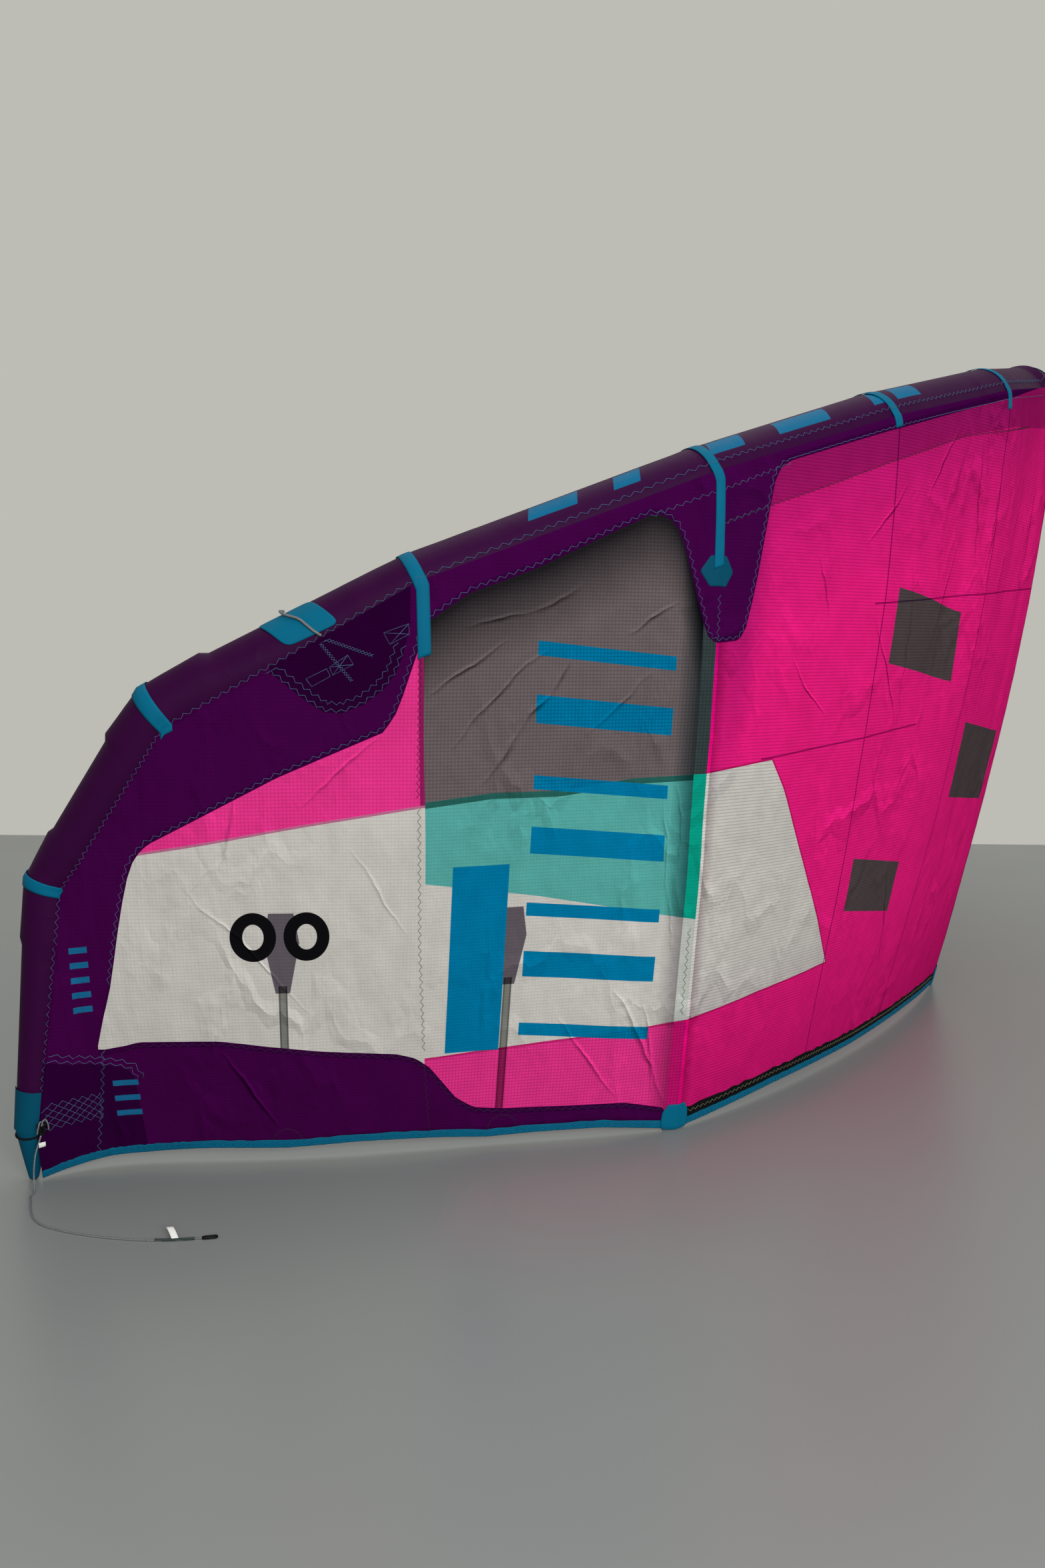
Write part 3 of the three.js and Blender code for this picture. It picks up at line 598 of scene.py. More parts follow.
class AreaPainter:
    # masks on a flat map: every depth is a signed distance in metres, positive inside
    softness = 0.0005
    mapSize = (3.0, 2.0)

    def __init__(self, tree, mapName):
        self.tree = tree
        self.lines = {}
        self.here = addNode(tree, "ShaderNodeUVMap", uv_map=mapName).outputs[0]
        parts = addNode(tree, "ShaderNodeSeparateXYZ", {0: self.here})
        self.span, self.height = parts.outputs[0], parts.outputs[1]
        self.spot = addNode(tree, "ShaderNodeCombineXYZ", {0: self.span, 1: self.height, 2: 1.0}).outputs[0]

    def sums(self, operation, *values, clamp=False):
        return sums(self.tree, operation, *values, clamp=clamp)

    def line(self, name):
        # how far a place is above one of the canopy's lines
        if name not in self.lines:
            self.lines[name] = self.aboveLine(markLines[name])
        return self.lines[name]

    def aboveLine(self, points):
        wide, high = self.mapSize
        curve = addNode(self.tree, "ShaderNodeFloatCurve", {1: self.sums("DIVIDE", self.span, wide)})
        dots = curve.mapping.curves[0].points
        for number, (u, z) in enumerate(points):
            dot = dots[number] if number < 2 else dots.new(u / wide, z / high)
            dot.location = (u / wide, z / high)
        for dot in dots:
            dot.handle_type = "VECTOR"
        curve.mapping.update()
        return self.sums("SUBTRACT", self.height, self.sums("MULTIPLY", curve.outputs[0], high))

    def beside(self, first, second):
        # distance from the line through two points, positive on its left
        along = (Vector(second) - Vector(first)).normalized()
        normal = (-along.y, along.x, along.y * first[0] - along.x * first[1])
        return vectors(self.tree, "DOT_PRODUCT", self.spot, normal)

    def inside(self, corners):
        # into a convex area with anticlockwise corners
        return self.lowest(*[self.beside(a, b) for a, b in zip(corners, corners[1:] + corners[:1])])

    def slanted(self, low, high, height, rise, thick):
        # a bar from one span to another whose ends are upright
        corners = [(low, height), (high, height + rise), (high, height + rise + thick), (low, height + thick)]
        return self.inside(corners)

    def ring(self, centre, outer, inner):
        # an oval ring; outer and inner are half sizes
        depths = []
        for radii, sign in ((outer, -1), (inner, 1)):
            scale = (1 / radii[0], 1 / radii[1], 0)
            shift = (-centre[0] / radii[0], -centre[1] / radii[1], 0)
            reach = vectors(self.tree, "MULTIPLY_ADD", self.here, scale, shift)
            away = self.sums("SUBTRACT", vectors(self.tree, "LENGTH", reach), 1.0)
            depths.append(self.sums("MULTIPLY", away, sign * min(radii)))
        return self.lowest(*depths)

    def between(self, low, high):
        return self.lowest(self.sums("SUBTRACT", self.span, low), self.sums("SUBTRACT", high, self.span))

    def pastJoint(self, place, scale=0.5):
        # how far a place is past a joint's seam, towards the wing tip
        return self.sums("MULTIPLY", self.sums("SUBTRACT", self.joint, place), scale)

    def lowest(self, *depths):
        return functools.reduce(functools.partial(self.sums, "MINIMUM"), depths)

    def highest(self, *depths):
        return functools.reduce(functools.partial(self.sums, "MAXIMUM"), depths)

    def outside(self, depth):
        return self.sums("MULTIPLY", depth, -1.0)

    def rim(self, depth, width):
        # the narrow band just outside an area
        return self.lowest(self.outside(depth), self.sums("ADD", depth, width))

    def fade(self, value, slope, start):
        return self.sums("MULTIPLY_ADD", value, slope, start, clamp=True)

    def mask(self, depth):
        return self.fade(depth, 1 / self.softness, 0.5)

    def shade(self, tones, share, factor):
        # multiplies colours by a factor where the share is 1
        dark = mixColours(self.tree, 1.0, tones, (*factor, 1), "MULTIPLY")
        return mixColours(self.tree, share, tones, dark)

    def cover(self, tones, depth, ink):
        return mixColours(self.tree, self.mask(depth), tones, ink)

    def creases(self, rows):
        total = 0.0
        sway = noiseMap(self.tree, self.here, 7.0, 3.0)["Color"]
        bent = vectors(self.tree, "MULTIPLY_ADD", sway, (0.05, 0.05, 0.0), self.here)
        for startU, startZ, endU, endZ, width, strength in rows:
            given = {
                "Map": bent,
                "Start": (startU + 0.025, startZ + 0.025, 0),
                "Along": (endU - startU, endZ - startZ, 0),
                "Width": width,
            }
            height = useGroup(self.tree, creaseGroup, given)["Height"]
            total = self.sums("MULTIPLY_ADD", height, strength, total)
        return total


def bumps(tree, shader, *layers):
    # layers of (height, distance, strength), finest first
    normal = None
    for height, distance, strength in layers:
        inputs = {"Height": height, "Distance": distance, "Strength": strength}
        if normal:
            inputs["Normal"] = normal
        normal = addNode(tree, "ShaderNodeBump", inputs).outputs[0]
    tree.links.new(normal, shader.inputs["Normal"])


def dimmed(base, share):
    return tuple(c * share for c in base[:3]) + (1.0,)


def clothFinish(name, base, roughness, ripstop=0.0025, lineShade=0.9, sheen=0.0):
    # a plain woven piece: straps, tapes and small cloth parts
    material, tree, shader = newMaterial(name, roughness, sheen=sheen)
    here = addNode(tree, "ShaderNodeUVMap", uv_map="clothMap").outputs[0]
    weave = useGroup(tree, weaveGroup, {"Map": here, "Ripstop": ripstop, "Thread": ripstop / 4})
    folds = useGroup(tree, crumpleGroup, {"Map": here, "Scale": 1.3})
    cloth = mixColours(tree, weave["Lines"], base, dimmed(base, lineShade))
    tree.links.new(shadeAndToneColours(tree, cloth, folds["Shade"]), shader.inputs["Base Color"])
    bumps(tree, shader, (weave["Height"], 0.00015, 0.7), (folds["Height"], 0.0008, 0.8))
    return material


def strandFinish(name, base):
    # braided or twisted thread, which has no map of its own
    material, tree, shader = newMaterial(name, 0.7)
    here = addNode(tree, "ShaderNodeTexCoord").outputs["Object"]
    speckle = noiseMap(tree, here, 900.0, 1.0)["Fac"]
    share = addNode(tree, "ShaderNodeMapRange", {0: speckle, 1: 0.4, 2: 0.6}).outputs[0]
    tree.links.new(mixColours(tree, share, base, dimmed(base, 0.45)), shader.inputs["Base Color"])
    bumps(tree, shader, (speckle, 0.0003, 0.6))
    return material


inks = {
    "purple": colour(52, 3, 54),
    "tubePurple": colour(45, 4, 47),
    "pink": colour(200, 24, 106),
    "palePink": colour(204, 46, 122),
    "white": colour(173, 170, 164),
    "grey": colour(92, 83, 84),
    "turquoise": colour(72, 143, 137),
    "teal": colour(1, 90, 118),
    "darkTeal": colour(1, 66, 88),
    "blue": colour(1, 100, 138),
    "darkBlock": colour(66, 57, 59),
    "black": colour(12, 12, 14),
}
tealCloth = clothFinish("tealCloth", inks["teal"], 0.6, ripstop=0.0018)
darkTealCloth = clothFinish("darkTealCloth", inks["darkTeal"], 0.6, ripstop=0.0018)
bindingCloth = clothFinish("bindingCloth", colour(3, 84, 112), 0.55, ripstop=0.0018)
strutFinish = clothFinish("strutCloth", inks["purple"], 0.5, ripstop=0.0022, lineShade=0.8, sheen=0.1)
blackCloth = clothFinish("blackCloth", inks["black"], 0.7, ripstop=0.0018)
battenFinish = clothFinish("battenCloth", colour(112, 100, 112), 0.6)
tagFinish = clothFinish("tagCloth", colour(212, 212, 208), 0.7, ripstop=0.0012)
lineFinish = strandFinish("lineStrand", colour(118, 120, 122))
blackStrand = strandFinish("blackStrand", colour(22, 22, 24))
blueThread = strandFinish("blueThread", colour(78, 96, 130))
tealThread = strandFinish("tealThread", colour(28, 112, 146))
limeThread = strandFinish("limeThread", colour(120, 126, 100))
darkThread = strandFinish("darkThread", colour(58, 40, 62))
print("shared finishes made")

# canopy
canopySet = {
    "rows": 120,
    "columnsPerJoint": 40,
    "outside": 0.002,
    "thickness": 0.0008,
    "tuck": 0.012,
    "flat": (3.25, 1.83),
    "flatArea": 4.0,
    "ribs": 0.0069,
    "weaveDepth": 0.00012,
    "creaseDepth": 0.006,
    "paintedLight": 1.05,
    "paintedLightFrom": (0.25, -0.2, 0.9),
}
# colour areas as lines of (span, height) in metres
markLines = {
    "purpleTop": [(0, 1.765), (0.15, 1.75), (0.59, 1.64), (1.06, 1.51), (1.33, 1.425), (1.355, 1.41)]
    + [(1.37, 1.385), (1.39, 1.29), (1.425, 1.10), (1.435, 1.073), (1.45, 1.06), (1.505, 1.055)]
    + [(1.52, 1.062), (1.53, 1.08), (1.585, 1.26), (1.60, 1.285), (1.625, 1.30), (1.65, 1.30)]
    + [(1.88, 1.19), (2.0, 1.145), (2.08, 1.09), (2.125, 0.94), (2.135, 0.915), (2.155, 0.885)]
    + [(2.35, 0.80), (2.585, 0.675), (2.605, 0.655), (2.62, 0.63), (2.64, 0.55), (2.67, 0.40)]
    + [(2.71, 0.26), (2.72, 0.0), (3, 0)],
    "purpleFoot": [(0, 0), (1.5, 0), (1.53, 0.055), (1.62, 0.075), (1.88, 0.082), (1.95, 0.09), (1.99, 0.115)]
    + [(2.05, 0.19), (2.08, 0.213), (2.12, 0.225), (2.27, 0.24), (2.48, 0.27), (2.63, 0.275), (2.66, 0.268)]
    + [(2.70, 0.262), (3, 0.3)],
    "pinkTop": [(0, 0.80), (1.32, 0.81), (1.50, 0.79), (2.085, 0.745), (2.30, 0.71), (2.60, 0.66), (3, 0.6)],
    "greyFoot": [(0, 0.8), (1.50, 0.79), (1.66, 0.785), (1.81, 0.765), (1.95, 0.765), (2.085, 0.75)]
    + [(3, 0.7)],
    "turquoiseFoot": [(0, 0.45), (1.50, 0.48), (1.84, 0.55), (2.085, 0.59), (3, 0.7)],
    "pinkFoot": [(0, 0.33), (1.02, 0.30), (1.44, 0.262), (1.69, 0.24), (2.085, 0.21), (3, 0.0)],
    "reinforced": [(0, 3), (2.10, 3), (2.107, 1.10), (2.116, 1.047), (2.134, 0.995), (2.157, 0.964)]
    + [(2.191, 0.937), (2.23, 0.921), (2.263, 0.924), (2.297, 0.947), (2.365, 1.003), (2.37, 3), (3, 3)],
    "tipCorner": [(0, 0), (2.642, 0), (2.645, 0.19), (2.655, 0.215), (2.68, 0.225), (2.76, 0.237)]
    + [(2.80, 0.25), (3, 0.26)],
    "secondLayer": [(0, 1.66), (0.5, 1.59), (0.745, 1.537), (1.045, 1.448), (1.23, 1.382), (1.40, 1.326)]
    + [(1.50, 1.29), (3, 1)],
}
# creases as (from span, height, to span, height, half width, strength)
creaseRows = [
    (1.797, 1.038, 1.838, 0.963, 0.008, 0.9),
    (1.838, 0.963, 1.888, 0.897, 0.01, 1.0),
    (1.888, 0.897, 1.966, 0.779, 0.011, 1.0),
    (1.588, 1.135, 1.68, 1.073, 0.007, 0.8),
    (1.56, 0.77, 1.548, 0.6, 0.006, 0.5),
    (1.59, 0.74, 1.575, 0.52, 0.006, 0.45),
    (1.575, 0.56, 1.552, 0.42, 0.006, 0.4),
    (1.779, 1.167, 1.888, 1.115, 0.009, 0.7),
    (1.888, 1.115, 2.01, 1.085, 0.008, 0.7),
    (1.936, 1.057, 2.072, 0.948, 0.008, 0.8),
    (1.847, 1.045, 2.026, 0.85, 0.007, 0.8),
    (1.64, 1.0, 1.76, 0.88, 0.008, 0.5),
    (1.66, 0.34, 1.53, 0.07, 0.01, 0.9),
    (1.6, 0.3, 1.56, 0.1, 0.008, 0.8),
    (1.78, 0.28, 1.64, 0.09, 0.008, 0.6),
    (2.41, 0.79, 2.46, 0.63, 0.008, 0.8),
    (2.47, 0.25, 2.37, 0.08, 0.008, 1.0),
    (2.22, 0.66, 2.11, 0.48, 0.007, 0.25),
    (2.52, 0.6, 2.3, 0.33, 0.007, 0.3),
    (2.16, 0.88, 2.3, 0.74, 0.007, 0.5),
    (1.05, 1.11, 0.9, 0.87, 0.007, 0.8),
    (1.24, 1.24, 1.2, 1.12, 0.006, 0.7),
    (1.3, 1.02, 1.17, 0.9, 0.006, 0.6),
    (0.95, 1.3, 0.88, 0.8, 0.008, 0.6),
    (0.99, 1.4, 1.1, 1.28, 0.007, 0.8),
    (0.78, 1.55, 0.9, 1.38, 0.007, 0.8),
    (0.66, 1.58, 0.63, 1.2, 0.009, 1.0),
    (0.55, 1.48, 0.58, 1.2, 0.008, 0.8),
    (0.4, 1.5, 0.46, 1.1, 0.01, 1.0),
    (0.28, 1.56, 0.35, 1.18, 0.01, 1.0),
    (0.14, 1.6, 0.2, 1.1, 0.012, 0.9),
    (0.72, 1.3, 0.8, 1.05, 0.008, 0.7),
    (0.8, 0.55, 0.7, 0.2, 0.008, 0.8),
    (0.45, 0.8, 0.36, 0.35, 0.012, 0.7),
]

# each batten's place on the cloth map, its joint place and its paddle's top
battenSet = {
    "rows": [{"joint": 4.6, "span": 2.348, "top": 0.535}, {"joint": 3.75, "span": 1.895, "top": 0.53}],
    "topHeight": 0.52,
    "footHeight": 0.021,
    # shares of the length and half widths in millimetres
    "outline": [(0, 18), (0.08, 32), (0.16, 33), (0.34, 13), (0.38, 8), (0.86, 8), (0.9, 24), (1, 34)],
    "inside": -0.0006,
    "thickness": 0.0014,
}


def startPanel(title):
    material, tree, shader = newMaterial(title, 0.5, specular=0.0)
    paint = AreaPainter(tree, "clothMap")
    paint.joint = AreaPainter(tree, "seamMap").span
    return material, shader, paint


def finishPanel(paint, shader, tones, creases, plain, across, depth, crumple):
    # ripstop lines where the cloth isn't plain, small creases, and one bump for all of them
    tree = paint.tree
    given = {"Map": paint.here, "Ripstop": canopySet["ribs"], "Across": across, "Thread": 0.0016}
    weave = useGroup(tree, weaveGroup, given)
    folds = useGroup(tree, crumpleGroup, {"Map": paint.here, "Scale": 1.0})
    share = paint.sums("MULTIPLY", weave["Lines"], paint.sums("MULTIPLY_ADD", plain, -depth, depth))
    tones = paint.shade(tones, share, (0.38, 0.34, 0.36))
    # painted shade along the creases; the same creases are bumped below
    ridges = paint.creases(creases)
    tones = paint.shade(tones, paint.sums("MULTIPLY", ridges, ridges, clamp=True), (0.62, 0.6, 0.62))
    crumpled = paint.sums("MULTIPLY", folds["Height"], crumple)
    height = paint.sums("MULTIPLY_ADD", weave["Height"], canopySet["weaveDepth"], crumpled)
    height = paint.sums("MULTIPLY_ADD", ridges, canopySet["creaseDepth"], height)
    relief = {"Height": height, "Distance": 1.0, "Strength": 1.0}
    normal = addNode(tree, "ShaderNodeBump", relief).outputs[0]
    tree.links.new(normal, shader.inputs["Normal"])
    # painted light and shade: the colour is lighter where the bumped cloth leans towards a light from above
    # and darker where it leans away, with the crumple's painted shade added
    level = addNode(tree, "ShaderNodeNewGeometry").outputs["Normal"]
    lit = vectors(tree, "DOT_PRODUCT", vectors(tree, "SUBTRACT", normal, level), canopySet["paintedLightFrom"])
    paintedLight = paint.sums("MULTIPLY_ADD", lit, canopySet["paintedLight"], folds["Shade"])
    tree.links.new(shadeAndToneColours(tree, tones, paintedLight), shader.inputs["Base Color"])


def coverPurple(paint, tones, area, base):
    # the purple cloth and its doubled hem
    hem = paint.mask(paint.sums("SUBTRACT", 0.013, area))
    return paint.cover(tones, area, paint.shade(base, hem, (0.72, 0.7, 0.8)))


def paintBattenShade(paint, tones, batten):
    # painted shade where the pocket's paddle, strip and half-round foot behind the cloth keep the light from
    # coming through
    centre, top, foot = batten["span"], batten["top"], 0.03
    paddle = paint.inside(
        [(centre - 0.014, top - 0.165), (centre + 0.014, top - 0.165), (centre + 0.034, top - 0.06)]
        + [(centre + 0.024, top), (centre - 0.024, top), (centre - 0.034, top - 0.06)]
    )
    tones = paint.shade(tones, paint.mask(paddle), (0.2, 0.17, 0.22))
    strip = paint.slanted(centre - 0.0085, centre + 0.0085, foot, 0, top - foot - 0.15)
    tones = paint.shade(tones, paint.mask(strip), (0.34, 0.36, 0.34))
    inner = paint.slanted(centre - 0.005, centre + 0.005, foot, 0, top - foot - 0.15)
    edge = paint.lowest(strip, paint.outside(inner))
    tones = paint.shade(tones, paint.mask(edge), (0.55, 0.55, 0.58))
    half = paint.ring((centre, 0.018), (0.036, 0.046), (0.0001, 0.0001))
    return paint.shade(tones, paint.mask(half), (0.45, 0.45, 0.5))


def tipPanelFinish():
    material, shader, paint = startPanel("tipPanelCloth")
    line, mask, outside = paint.line, paint.mask, paint.outside
    tones = paint.cover(inks["white"], line("pinkTop"), inks["palePink"])
    tones = paint.shade(tones, mask(paint.rim(line("pinkTop"), 0.005)), (0.8, 0.25, 0.5))
    tones = paintBattenShade(paint, tones, battenSet["rows"][0])
    seam = outside(paint.pastJoint(4.019, 0.55))
    tones = paint.shade(tones, mask(paint.lowest(seam, line("pinkTop"))), (0.36, 0.3, 0.4))
    purple = paint.shade(inks["purple"], mask(line("reinforced")), (0.42, 0.4, 0.5))
    corner = paint.lowest(outside(line("tipCorner")), paint.between(2.64, 3.0))
    purple = paint.shade(purple, mask(corner), (0.5, 0.5, 0.6))
    purpleArea = paint.highest(line("purpleTop"), outside(line("purpleFoot")))
    tones = coverPurple(paint, tones, purpleArea, purple)
    rings = [paint.ring((centre, 0.487), (0.044, 0.050), (0.020, 0.026)) for centre in (2.300, 2.402)]
    tones = paint.cover(tones, paint.highest(*rings), inks["black"])
    dashes = [paint.slanted(2.708, 2.742, 0.345 + 0.03 * k, -0.004, 0.012) for k in range(5)]
    dashes += [paint.slanted(2.642, 2.69, 0.112 + 0.034 * k, 0.0, 0.012) for k in range(3)]
    tones = paint.cover(tones, paint.highest(*dashes), colour(20, 84, 120))
    rows = [row for row in creaseRows if row[0] > 2.1]
    faint = paint.sums("MULTIPLY", mask(outside(line("pinkTop"))), 0.65)
    plain = paint.sums("MAXIMUM", mask(purpleArea), faint)
    finishPanel(paint, shader, tones, rows, plain, 0.9, 0.35, 0.0024)
    return material


def gridPanelFinish():
    material, shader, paint = startPanel("gridPanelCloth")
    line, mask, outside = paint.line, paint.mask, paint.outside
    tones = paint.cover(inks["palePink"], line("pinkFoot"), inks["white"])
    tones = paint.shade(tones, mask(paint.rim(line("pinkFoot"), 0.005)), (0.7, 0.5, 0.6))
    tones = paint.cover(tones, line("turquoiseFoot"), inks["turquoise"])
    tones = paint.shade(tones, mask(paint.rim(line("greyFoot"), 0.012)), (0.2, 0.28, 0.26))
    tones = paint.cover(tones, line("greyFoot"), inks["grey"])
    # the tube and the strut behind the cloth keep the light off it
    tubeShade = paint.fade(line("purpleTop"), 1 / 0.14, 1.05)
    tubeShade = paint.sums("MULTIPLY", tubeShade, mask(line("greyFoot")))
    tones = paint.shade(tones, tubeShade, (0.10, 0.11, 0.13))
    strutShade = paint.fade(paint.pastJoint(3.0, 1.0), -1 / 0.08, 1.6)
    tones = paint.shade(tones, strutShade, (0.44, 0.42, 0.45))
    darker = paint.sums("MULTIPLY", strutShade, mask(line("turquoiseFoot")))
    tones = paint.shade(tones, darker, (0.4, 0.62, 0.62))
    # the doubled strip along the strut's seam
    strip = paint.cover(colour(168, 16, 92), line("pinkFoot"), colour(160, 164, 158))
    strip = paint.cover(strip, line("turquoiseFoot"), colour(6, 130, 110))
    strip = paint.cover(strip, line("greyFoot"), colour(46, 56, 56))
    tones = paint.cover(tones, outside(paint.pastJoint(3.048)), strip)
    tones = paintBattenShade(paint, tones, battenSet["rows"][1])
    purpleArea = paint.highest(line("purpleTop"), outside(line("purpleFoot")))
    tones = coverPurple(paint, tones, purpleArea, inks["purple"])
    # plain bars, every second one thick, and a block beside them
    bars = [paint.slanted(1.585, 1.865, 0.22 + 0.13 * k, 0.03, 0.028 + 0.027 * (k % 2)) for k in range(7)]
    bars.append(paint.slanted(1.905, 2.02, 0.22, 0.0, 0.40))
    tones = paint.cover(tones, paint.highest(*bars), inks["blue"])
    rows = [row for row in creaseRows if 1.5 < row[0] <= 2.1]
    faint = paint.lowest(line("pinkFoot"), outside(line("greyFoot")))
    faint = paint.sums("MULTIPLY", mask(faint), 0.75)
    plain = paint.sums("MAXIMUM", mask(purpleArea), faint)
    finishPanel(paint, shader, tones, rows, plain, 0.9, 0.5, 0.003)
    return material


def ribPanelFinish():
    material, shader, paint = startPanel("ribPanelCloth")
    line, mask, outside = paint.line, paint.mask, paint.outside
    whiteEdge = outside(paint.beside((1.02, 0.30), (1.27, 0.72)))
    whiteCorner = outside(paint.beside((1.27, 0.72), (1.33, 0.81)))
    white = paint.lowest(outside(line("pinkTop")), line("pinkFoot"), whiteEdge, whiteCorner)
    tones = paint.cover(inks["pink"], white, inks["white"])
    tones = paint.shade(tones, mask(paint.rim(white, 0.004)), (0.6, 0.5, 0.55))
    # plain blocks on the pink cloth
    blocks = [paint.slanted(0.66, 0.98, 0.96, 0.05, 0.17), paint.slanted(0.10, 0.50, 0.60, 0.05, 0.20)]
    blocks.append(paint.slanted(0.74, 0.98, 0.38, 0.04, 0.13))
    tones = paint.cover(tones, paint.highest(*blocks), inks["darkBlock"])
    tones = paint.shade(tones, mask(line("secondLayer")), (0.6, 0.72, 0.7))
    # seams at the joints, and sloping ones given as (from span, height, to span, height)
    away = paint.sums("SUBTRACT", paint.joint, paint.sums("ROUND", paint.joint))
    seams = paint.sums("MULTIPLY_ADD", paint.sums("ABSOLUTE", away), -0.5, 0.002)
    slopes = [(-0.1, 1.215, 0.64, 1.17), (0.64, 1.17, 1.06, 1.14), (0.81, 0.86, 1.36, 0.81)]
    for fromSpan, fromHeight, toSpan, toHeight in slopes:
        slope = paint.slanted(fromSpan, toSpan, fromHeight, toHeight - fromHeight, 0.004)
        seams = paint.highest(seams, slope)
    tones = paint.shade(tones, mask(seams), (0.42, 0.3, 0.5))
    # a fold's shade and the bright edge of the cloth along the strut's seam
    foldShade = paint.fade(paint.pastJoint(2.93, 1.0), 1 / 0.053, 0.0)
    tones = paint.shade(tones, foldShade, (0.66, 0.58, 0.62))
    edging = paint.cover(colour(222, 8, 116), white, colour(186, 184, 178))
    tones = paint.cover(tones, paint.pastJoint(2.984), edging)
    # less light comes through near the tube and near the floor
    tones = paint.shade(tones, paint.fade(line("purpleTop"), 1 / 0.35, 1.0), (0.6, 0.7, 0.75))
    tones = paint.shade(tones, paint.fade(paint.height, -1 / 0.40, 1.0), (0.7, 0.6, 0.72))
    tones = coverPurple(paint, tones, line("purpleTop"), inks["purple"])
    rows = [row for row in creaseRows if row[0] <= 1.5]
    finishPanel(paint, shader, tones, rows, mask(line("purpleTop")), 0.15, 0.4, 0.0042)
    return material


panelFinishes = [ribPanelFinish(), gridPanelFinish(), tipPanelFinish()]
canopyNodes = ["middle", "inner", "strut", "outer", "tip"]


def makeCanopy(name, side):
    columns, rows = canopySet["columnsPerJoint"] * tipJoint, canopySet["rows"]

    def own(across, down):
        joint = across * tipJoint if side > 0 else (across - 1) * tipJoint
        wrapRows = 5 / rows
        share = np.where(down < wrapRows, down / wrapRows - 1, (down - wrapRows) / (1 - wrapRows))
        return joint, share * np.where(share > 0, shareAbove(joint, canopySet["tuck"]), 1)

    def place(across, down):
        return clothPoint(*own(across, down), canopySet["outside"])

    def seamPlace(across, down):
        joint, share = own(across, down)
        return np.stack([np.abs(joint), share], axis=-1)

    shape = bmesh.new()
    addGrid(shape, columns, rows, place, None, seamPlace)
    nodes = [f"canopy-{part}-{name}" for part in canopyNodes]
    thick = ("SOLIDIFY", {"thickness": canopySet["thickness"], "offset": -1})
    # ribs from the middle to the side strut, a grid to the fourth joint, and the tip's panel
    for face in shape.faces:
        centre = sum(loop[shape.loops.layers.uv["seamMap"]].uv.x for loop in face.loops) / 4
        face.material_index = 0 if centre < 3 else 1 if centre < 4 else 2
    first, *others = panelFinishes
    return newPiece(f"canopyCloth-{name}", shape, first, "pinkCloth", nodes, [thick], others)


canopies = [makeCanopy(*side) for side in sides]
print("canopy made")

# leading edge tube
tubeSet = {
    "ringsPerJoint": 36,
    "sides": 64,
    "wrinkle": 0.0006,
    "mapLength": 3.75,
    "mapGirth": 0.42,
    # plain bars as (joint place, width), and the angles they cover
    "bars": [(3.2, 0.05), (3.42, 0.09), (2.78, 0.09), (2.5, 0.05), (2.3, 0.12), (1.95, 0.05), (1.7, 0.1)],
    "barAngles": (82, 44),
    "barLean": 0.02,
}


def tubeFinish():
    material, tree, shader = newMaterial("tubeCloth", 0.5, specular=0.04)
    paint = AreaPainter(tree, "clothMap")
    weave = useGroup(tree, weaveGroup, {"Map": paint.here, "Ripstop": 0.0022, "Thread": 0.0006})
    folds = useGroup(tree, crumpleGroup, {"Map": paint.here, "Scale": 0.9})
    base = inks["tubePurple"]
    tones = mixColours(tree, weave["Lines"], base, dimmed(base, 0.85))
    low, high = [tubeSet["mapGirth"] * (1 - angle / 360) for angle in tubeSet["barAngles"]]
    lean = tubeSet["barLean"]
    bars = []
    for place, width in tubeSet["bars"]:
        start = place * tubeSet["mapLength"] / tipJoint
        stop = start + width
        bars.append(paint.inside([(start, low), (stop, low), (stop + lean, high), (start + lean, high)]))
    tones = paint.cover(tones, paint.highest(*bars), colour(1, 84, 118))
    tree.links.new(shadeAndToneColours(tree, tones, folds["Shade"]), shader.inputs["Base Color"])
    bumps(tree, shader, (weave["Height"], 0.0001, 0.6), (folds["Height"], 0.0012, 0.6))
    return material


tubeCloth = tubeFinish()


def makeTube(name, side):
    def place(across, around):
        joint = across * tipJoint if side > 0 else (across - 1) * tipJoint
        point = tubePoint(joint, -around * 360, 0 * joint)
        nearJoint = 1 - np.clip(np.abs(joint - np.round(joint)) / 0.16, 0, 1)
        wave = np.sin(np.abs(joint) * 260 + 3 * np.sin(around * math.tau * 2)) * nearJoint
        return point + unit(point - tubeCentre(joint)) * (wave * tubeSet["wrinkle"])[:, None]

    def mapPlace(across, around):
        along = across if side > 0 else 1 - across
        return np.stack([along * tubeSet["mapLength"], around * tubeSet["mapGirth"]], axis=-1)

    shape = bmesh.new()
    addGrid(shape, tubeSet["ringsPerJoint"] * tipJoint, tubeSet["sides"], place, mapPlace)
    nodes = [f"leadingEdge-{number}-{name}" for number in range(1, tipJoint + 1)]
    newPiece(f"leadingEdge-{name}", closeShape(shape), tubeCloth, "tubeCloth", nodes)


for name, side in sides:
    makeTube(name, side)
print("leading edge made")

# straps over the joints
strapSet = {
    "width": 0.024,
    "thickness": 0.0013,
    "backAngle": 190,
    "clear": 0.0022,
    "onCanopy": 0.0036,
    "drops": [0.206, 0.025, 0.005, 0.206, 0.127, 0.012, 0.006],
    "padLength": 0.060,
    # half the pad's width at shares of its length
    "padShares": [0, 0.45, 0.55, 1],
    "padHalves": [0.021, 0.042, 0.042, 0.021],
}


